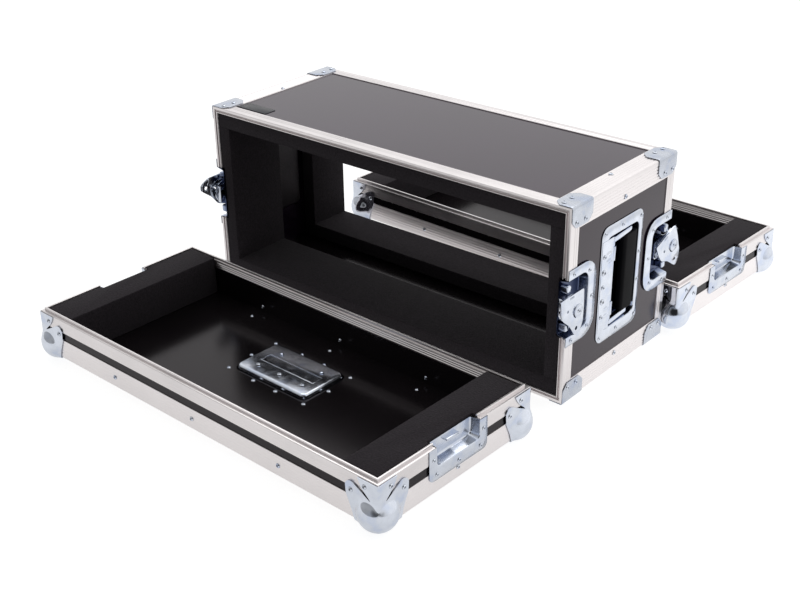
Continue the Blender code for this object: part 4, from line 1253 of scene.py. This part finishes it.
def side_leaf_rows(samples):
    """The side leaf as grids of (along, face, height): the body, the ear and the upright brace.

    Each grid runs straight from a lower line to an upper one. The ear's upper line is a round lobe.
    """
    out, low, wide, split = CORNER_OUT, 0.0365, 0.0487, 0.0120
    rise = np.concatenate([samples, [low]])[:, None]
    reach = np.interp(rise, [0.0, 0.012, 0.031, low], [0.036, 0.0395, 0.048, wide])
    body_x = -out + (reach + out) * (samples + out) / (samples[-1] + out)
    v = np.array([0, 0.12, 0.24, 0.36, 0.47, 0.55, 0.65, 0.75, 0.85, 0.93, 1.0])
    t = np.linspace(0, 1, 8)[:, None]
    low_line = split + (wide - split) * v
    lobe = arc(0.0405, 0.0425, 0.0088, 130, 12, 6)
    top_x, top_z = (np.interp(v, [0, *v[5:]], [start, *line])
                    for start, line in zip((split, 0.0366), lobe.T))
    ear_x = low_line + (top_x - low_line) * t
    ear_z = low + (top_z - low) * t
    edge_x = -out + (0.0108 + out) * v
    upper_x = -out + (0.0302 + out) * v
    t = np.linspace(0, 1, 9)[:, None]
    brace_x = edge_x + (upper_x - edge_x) * t
    brace_z = low + (0.0245 - 0.0056 * v * t * (1 - t) * 4) * t
    return [np.stack(np.broadcast_arrays(x, -out, z), -1)
            for x, z in ((body_x, rise), (ear_x, ear_z), (brace_x, brace_z))]


def swollen(points):
    """Rounds the box's edges, then pushes the points out to the ball.

    The smooth maximum of two lengths is the 14th root of the sum of their 14th powers.
    """
    small, middle, power = 0.003, 0.014, 14.0
    core = np.maximum(points, small - CORNER_OUT)
    away = points - core
    length = np.linalg.norm(away, axis=-1, keepdims=True)
    rounded = core + np.where(length > 0, small * away / np.maximum(length, 1e-9), 0.0)
    ray = rounded - middle
    far = np.linalg.norm(ray, axis=-1, keepdims=True)
    pushed = (far ** power + sizes().ball ** power) ** (1 / power)
    return middle + ray * pushed / far


class CASE_OT_lid_foam(Operator):
    """Adds the foam blocks against the short ends of the lids."""

    bl_idname = "flight_case.lid_foam"
    bl_label = "Lid foam"

    def execute(self, context):
        s = sizes()
        outer = s.width / 2 - s.rim - FIT
        floor = s.wall + s.board + FIT
        inner = s.width / 2 - floor - s.lid_foam
        half = s.height / 2 - s.rim - FIT
        setback = 0.0012
        # The outer face steps in where the keeper's pan comes through
        pan_half, pan_face = 0.0410, outer - 0.0054
        outline = np.array([(inner, half), (inner, -half), (outer, -half), (outer, -pan_half),
                            (pan_face, -pan_half), (pan_face, pan_half), (outer, pan_half), (outer, half)])
        for lid in LIDS:
            for side, hand in HANDS:
                block = extruded(outline * (side, 1), floor, LID_MOUTH + TONGUE - setback)
                mesh = finished("block", block, bevel=0.0012, segments=3)
                piece = add_piece(f"{lid}_foam_{hand}_block", [place_mesh(mesh, lid_place(lid))],
                                  finish(foam), lid, [f"{lid}_foam_{hand}"])
        return {"FINISHED"}


class CASE_OT_rivets(Operator):
    """Adds the blind rivets that hold the extrusions, dishes and corners."""

    bl_idname = "flight_case.rivets"
    bl_label = "Rivets"

    def execute(self, context):
        add_piece("sleeve_rivets", sleeve_rivets(), finish(bright_zinc), "sleeve")
        for lid in LIDS:
            add_piece(f"{lid}_rivets", lid_rivets(lid), finish(bright_zinc), lid)
        return {"FINISHED"}


def sleeve_rivets():
    """Rivets on the ends, the top and the underside of the sleeve, and on its dishes."""
    s = sizes()
    made = []
    top = SLEEVE_MID + s.height / 2
    low = SLEEVE_MID - s.height / 2
    flange = [(-0.0560, 0.0), (-0.0115, 0.0468), (-0.0115, -0.0468), (-0.0475, 0.0395), (-0.0475, -0.0395)]
    for side, hand in HANDS:
        face = frame_of((0, side, 0), (0, 0, 1), (side, 0, 0), (side * s.width / 2, 0, 0))
        made += rivets([(0.0, top - 0.0246), (0.0, low + 0.0228)], face)
        brace = [(side * sy * y, z) for sy in (1, -1) for y in (0.096, 0.1155)
                 for z in (top - 0.0216, low + 0.0216)]
        made += rivets(brace, face, proud=FLANGE_TOP)
        for end in ("rear", "front"):
            made += rivets(flange, latch_place(f"{end}_{hand}"), DISH_RIVET, proud=FLANGE_TOP)
    for up, level in ((1, top), (-1, low)):
        face = frame_of((1, 0, 0), (0, up, 0), (0, 0, up), (0, 0, level))
        made += rivets([(sx * 0.296, 0.0) for sx in (1, -1)], face)
        brace = [(sx * x, up * sy * y) for sx in (1, -1) for sy in (1, -1)
                 for x, y in ((0.302, 0.099), (0.303, 0.118))]
        made += rivets(brace, face, proud=FLANGE_TOP)
    made += dish_rivets("right") + dish_rivets("left")
    return made


def dish_rivets(name):
    """Rivets round a handle dish's flange."""
    at = handle_places()[name][0]
    points = [(0.0455, y) for y in (-0.0730, -0.0205, 0.0205, 0.0730)]
    points += [(x, y) for x in (-0.0430, -0.001) for y in (-0.0755, 0.0755)]
    return rivets(points, at, DISH_RIVET, proud=FIT)


def lid_rivets(lid):
    """Rivets on a lid's edges, corners and keeper dishes, and their tails inside."""
    s = sizes()
    at = lid_place(lid)
    made = []
    half_w, half_h = s.width / 2, s.height / 2
    level = 0.0158
    long_side = [(x, level) for x in (-0.158, 0.0, 0.158)]
    flange = [(-0.0145, 0.0455), (-0.0360, 0.0400), (-0.0360, 0.0), (-0.0360, -0.0400), (-0.0145, -0.0455)]
    for sign in (1, -1):
        face = at @ frame_of((-sign, 0, 0), (0, 0, 1), (0, sign, 0), (0, sign * half_h, 0))
        made += rivets(long_side, face)
        end = at @ frame_of((0, sign, 0), (0, 0, 1), (sign, 0, 0), (sign * half_w, 0, 0))
        made += rivets([(0.0, level)], end)
        made += rivets(flange, keeper_place(lid, sign), DISH_RIVET, proud=FLANGE_TOP)
        board = sign * (half_h - s.wall - s.board)
        inside = at @ frame_of((sign, 0, 0), (0, 0, 1), (0, -sign, 0), (0, board, 0))
        made += rivets(long_side, inside, RIVET_TAIL)
    floor = at @ shifted(0, 0, s.wall + s.board)
    made += rivets([(x, y) for x in (-0.160, 0.0, 0.160) for y in (-0.110, 0.110)], floor, RIVET_TAIL)
    for signs in CORNERS.values():
        corner = at @ corner_place(signs)
        for leaf in (frame_of((1, 0, 0), (0, 0, 1), (0, -1, 0), (0, 0, 0)),
                     frame_of((0, 1, 0), (0, 0, 1), (-1, 0, 0), (0, 0, 0))):
            made += rivets([(0.041, 0.0395), (0.0195, 0.0525)], corner @ leaf, proud=CORNER_OUT)
    if lid == "front_lid":
        made += dish_rivets("front_lid")
        tails = [(sx * x, y) for sx in (1, -1) for x, y in ((0.0725, -0.0125), (0.0215, -0.0145),
                                                          (0.0725, 0.0755), (0.0215, 0.0770),
                                                          (0.0750, 0.0315))]
        made += rivets(tails, floor, 0.0030)
    return made


class CASE_OT_stage(Operator):
    """Adds the pale floor, the soft studio light and the camera."""

    bl_idname = "flight_case.stage"
    bl_label = "Stage"

    def execute(self, context):
        floor = bpy.data.meshes.new("floor")
        reach = 30.0
        corners = [(x * reach, y * reach, FLOOR_Z) for x, y in ((-1, -1), (1, -1), (1, 1), (-1, 1))]
        floor.from_pydata(corners, [], [(0, 1, 2, 3)])
        plane = bpy.data.objects.new("floor", floor)
        context.scene.collection.objects.link(plane)
        floor.materials.append(floor_material())
        studio_world()
        area_light("key", (-0.5, 0.9, 2.6), (0.0, 0.0, 0.1), 2.4, 1.8, 16.0)
        camera = bpy.data.cameras.new("camera")
        camera.lens = 56.48
        camera.sensor_width = 36.0
        camera.shift_x, camera.shift_y = 0.0275, 0.0315
        camera.clip_end = 100.0
        holder = bpy.data.objects.new("camera", camera)
        holder.location = (1.0706, -1.3234, 0.8687)
        holder.rotation_euler = [math.radians(a) for a in (61.8317, 1.2111, 41.0726)]
        context.scene.collection.objects.link(holder)
        context.scene.camera = holder
        context.scene.view_settings.view_transform = "Standard"
        return {"FINISHED"}


def area_light(name, location, target, width, height, power):
    """A rectangular lamp that faces its target."""
    light = bpy.data.lights.new(name, "AREA")
    light.shape = "RECTANGLE"
    light.size, light.size_y = width, height
    light.energy = power
    holder = bpy.data.objects.new(name, light)
    holder.location = location
    aim = Vector(target) - Vector(location)
    holder.rotation_euler = aim.to_track_quat("-Z", "Y").to_euler()
    bpy.context.scene.collection.objects.link(holder)


def floor_material():
    """White floor like a lit table: it keeps a soft shadow, and glows white to the camera.

    Seen in the metal it is brightest beside the case, and falls off with the distance.
    """
    material, tree, shader, where = new_material("floor_finish")
    preset(shader, {"Base Color": (*shade(colours().floor, 0.30), 1.0), "Roughness": 0.9,
                    "Specular IOR Level": 0.1, "Emission Color": (*colours().floor, 1.0),
                    "Emission Strength": 0.50})
    path = tree.nodes.new("ShaderNodeLightPath").outputs
    glow = tree.nodes.new("ShaderNodeEmission")
    preset(glow, {"Color": (1.0, 1.0, 1.0, 1.0), "Strength": 0.36})
    seen = worked(tree, "Math", "MAXIMUM", path["Is Camera Ray"], path["Is Transmission Ray"])[0]
    glowing = linked(tree, "AddShader", shader.outputs[0], glow.outputs[0])
    surface = linked(tree, "MixShader", seen, shader.outputs[0], glowing)
    away = worked(tree, "VectorMath", "DISTANCE", where, (0.50, 0.35, FLOOR_Z))["Value"]
    pool = tree.nodes.new("ShaderNodeEmission")
    preset(pool, {"Strength": 0.40})
    tree.links.new(ramp(tree, away, [(0.22, grey(1.0)), (0.70, grey(0.28))]), pool.inputs["Color"])
    lit = linked(tree, "AddShader", surface, pool.outputs[0])
    surface = linked(tree, "MixShader", path["Is Glossy Ray"], surface, lit)
    tree.links.new(surface, tree.nodes["Material Output"].inputs["Surface"])
    return material


def studio_world():
    """White to the camera; as light a grey dome, bright behind, with a dark patch at the camera's side."""
    world = bpy.data.worlds.new("studio")
    bpy.context.scene.world = world
    world.use_nodes = True
    tree = world.node_tree
    where = tree.nodes.new("ShaderNodeTexCoord").outputs["Generated"]
    toward = worked(tree, "VectorMath", "DOT_PRODUCT", where, (0.22, 0.88, 0.40))["Value"]
    half = worked(tree, "Math", "MULTIPLY_ADD", toward, 0.5, 0.5)[0]
    dome = ramp(tree, half, [(0.15, grey(0.38)), (0.45, grey(0.60)), (0.75, grey(0.98)), (0.95, grey(1.0))])
    near = worked(tree, "VectorMath", "DOT_PRODUCT", where, (0.56, -0.69, 0.455))["Value"]
    patch = ramp(tree, near, [(0.74, grey(1.0)), (0.92, grey(0.05))])
    back = tree.nodes["Background"]
    preset(back, {"Strength": 1.04})
    tree.links.new(worked(tree, "VectorMath", "MULTIPLY", dome, patch)["Vector"], back.inputs["Color"])
    white = tree.nodes.new("ShaderNodeBackground")
    preset(white, {"Color": (1.0, 1.0, 1.0, 1.0), "Strength": 1.0})
    path = tree.nodes.new("ShaderNodeLightPath").outputs
    surface = linked(tree, "MixShader", path["Is Camera Ray"], back.outputs[0], white.outputs[0])
    tree.links.new(surface, tree.nodes["World Output"].inputs["Surface"])


class CASE_PT_panel(Panel):
    """Lists the case's sizes, colours and pieces."""

    bl_idname = "CASE_PT_panel"
    bl_label = "Flight case"
    bl_space_type = "VIEW_3D"
    bl_region_type = "UI"
    bl_category = "Flight case"

    def draw(self, context):
        layout = self.layout
        for group in (context.scene.case_sizes, context.scene.case_colours):
            box = layout.box()
            for name in type(group).__annotations__:
                box.prop(group, name)
        for operator in OPERATORS:
            layout.operator(operator.bl_idname)


OPERATORS = (
    CASE_OT_stage,
    CASE_OT_panels,
    CASE_OT_sleeve_rims,
    CASE_OT_edge_angles,
    CASE_OT_latch_dishes,
    CASE_OT_hook_plates,
    CASE_OT_latch_wings,
    CASE_OT_handle_dishes,
    CASE_OT_handle_bails,
    CASE_OT_handle_grips,
    CASE_OT_foam_linings,
    CASE_OT_lid_edges,
    CASE_OT_lid_rims,
    CASE_OT_keeper_dishes,
    CASE_OT_ball_corners,
    CASE_OT_lid_foam,
    CASE_OT_rivets,
)


def register():
    """Adds the sizes, colours, operators and panel to Blender."""
    for group in (CaseSizes, CaseColours):
        bpy.utils.register_class(group)
    bpy.types.Scene.case_sizes = PointerProperty(type=CaseSizes)
    bpy.types.Scene.case_colours = PointerProperty(type=CaseColours)
    for operator in OPERATORS:
        bpy.utils.register_class(operator)
    bpy.utils.register_class(CASE_PT_panel)


def unregister():
    """Takes them out again."""
    bpy.utils.unregister_class(CASE_PT_panel)
    for operator in reversed(OPERATORS):
        bpy.utils.unregister_class(operator)
    del bpy.types.Scene.case_colours
    del bpy.types.Scene.case_sizes
    for group in (CaseColours, CaseSizes):
        bpy.utils.unregister_class(group)


def main():
    """Builds every piece in order."""
    register()
    for operator in OPERATORS:
        group, name = operator.bl_idname.split(".")
        getattr(getattr(bpy.ops, group), name)()


if __name__ == "__main__":
    main()
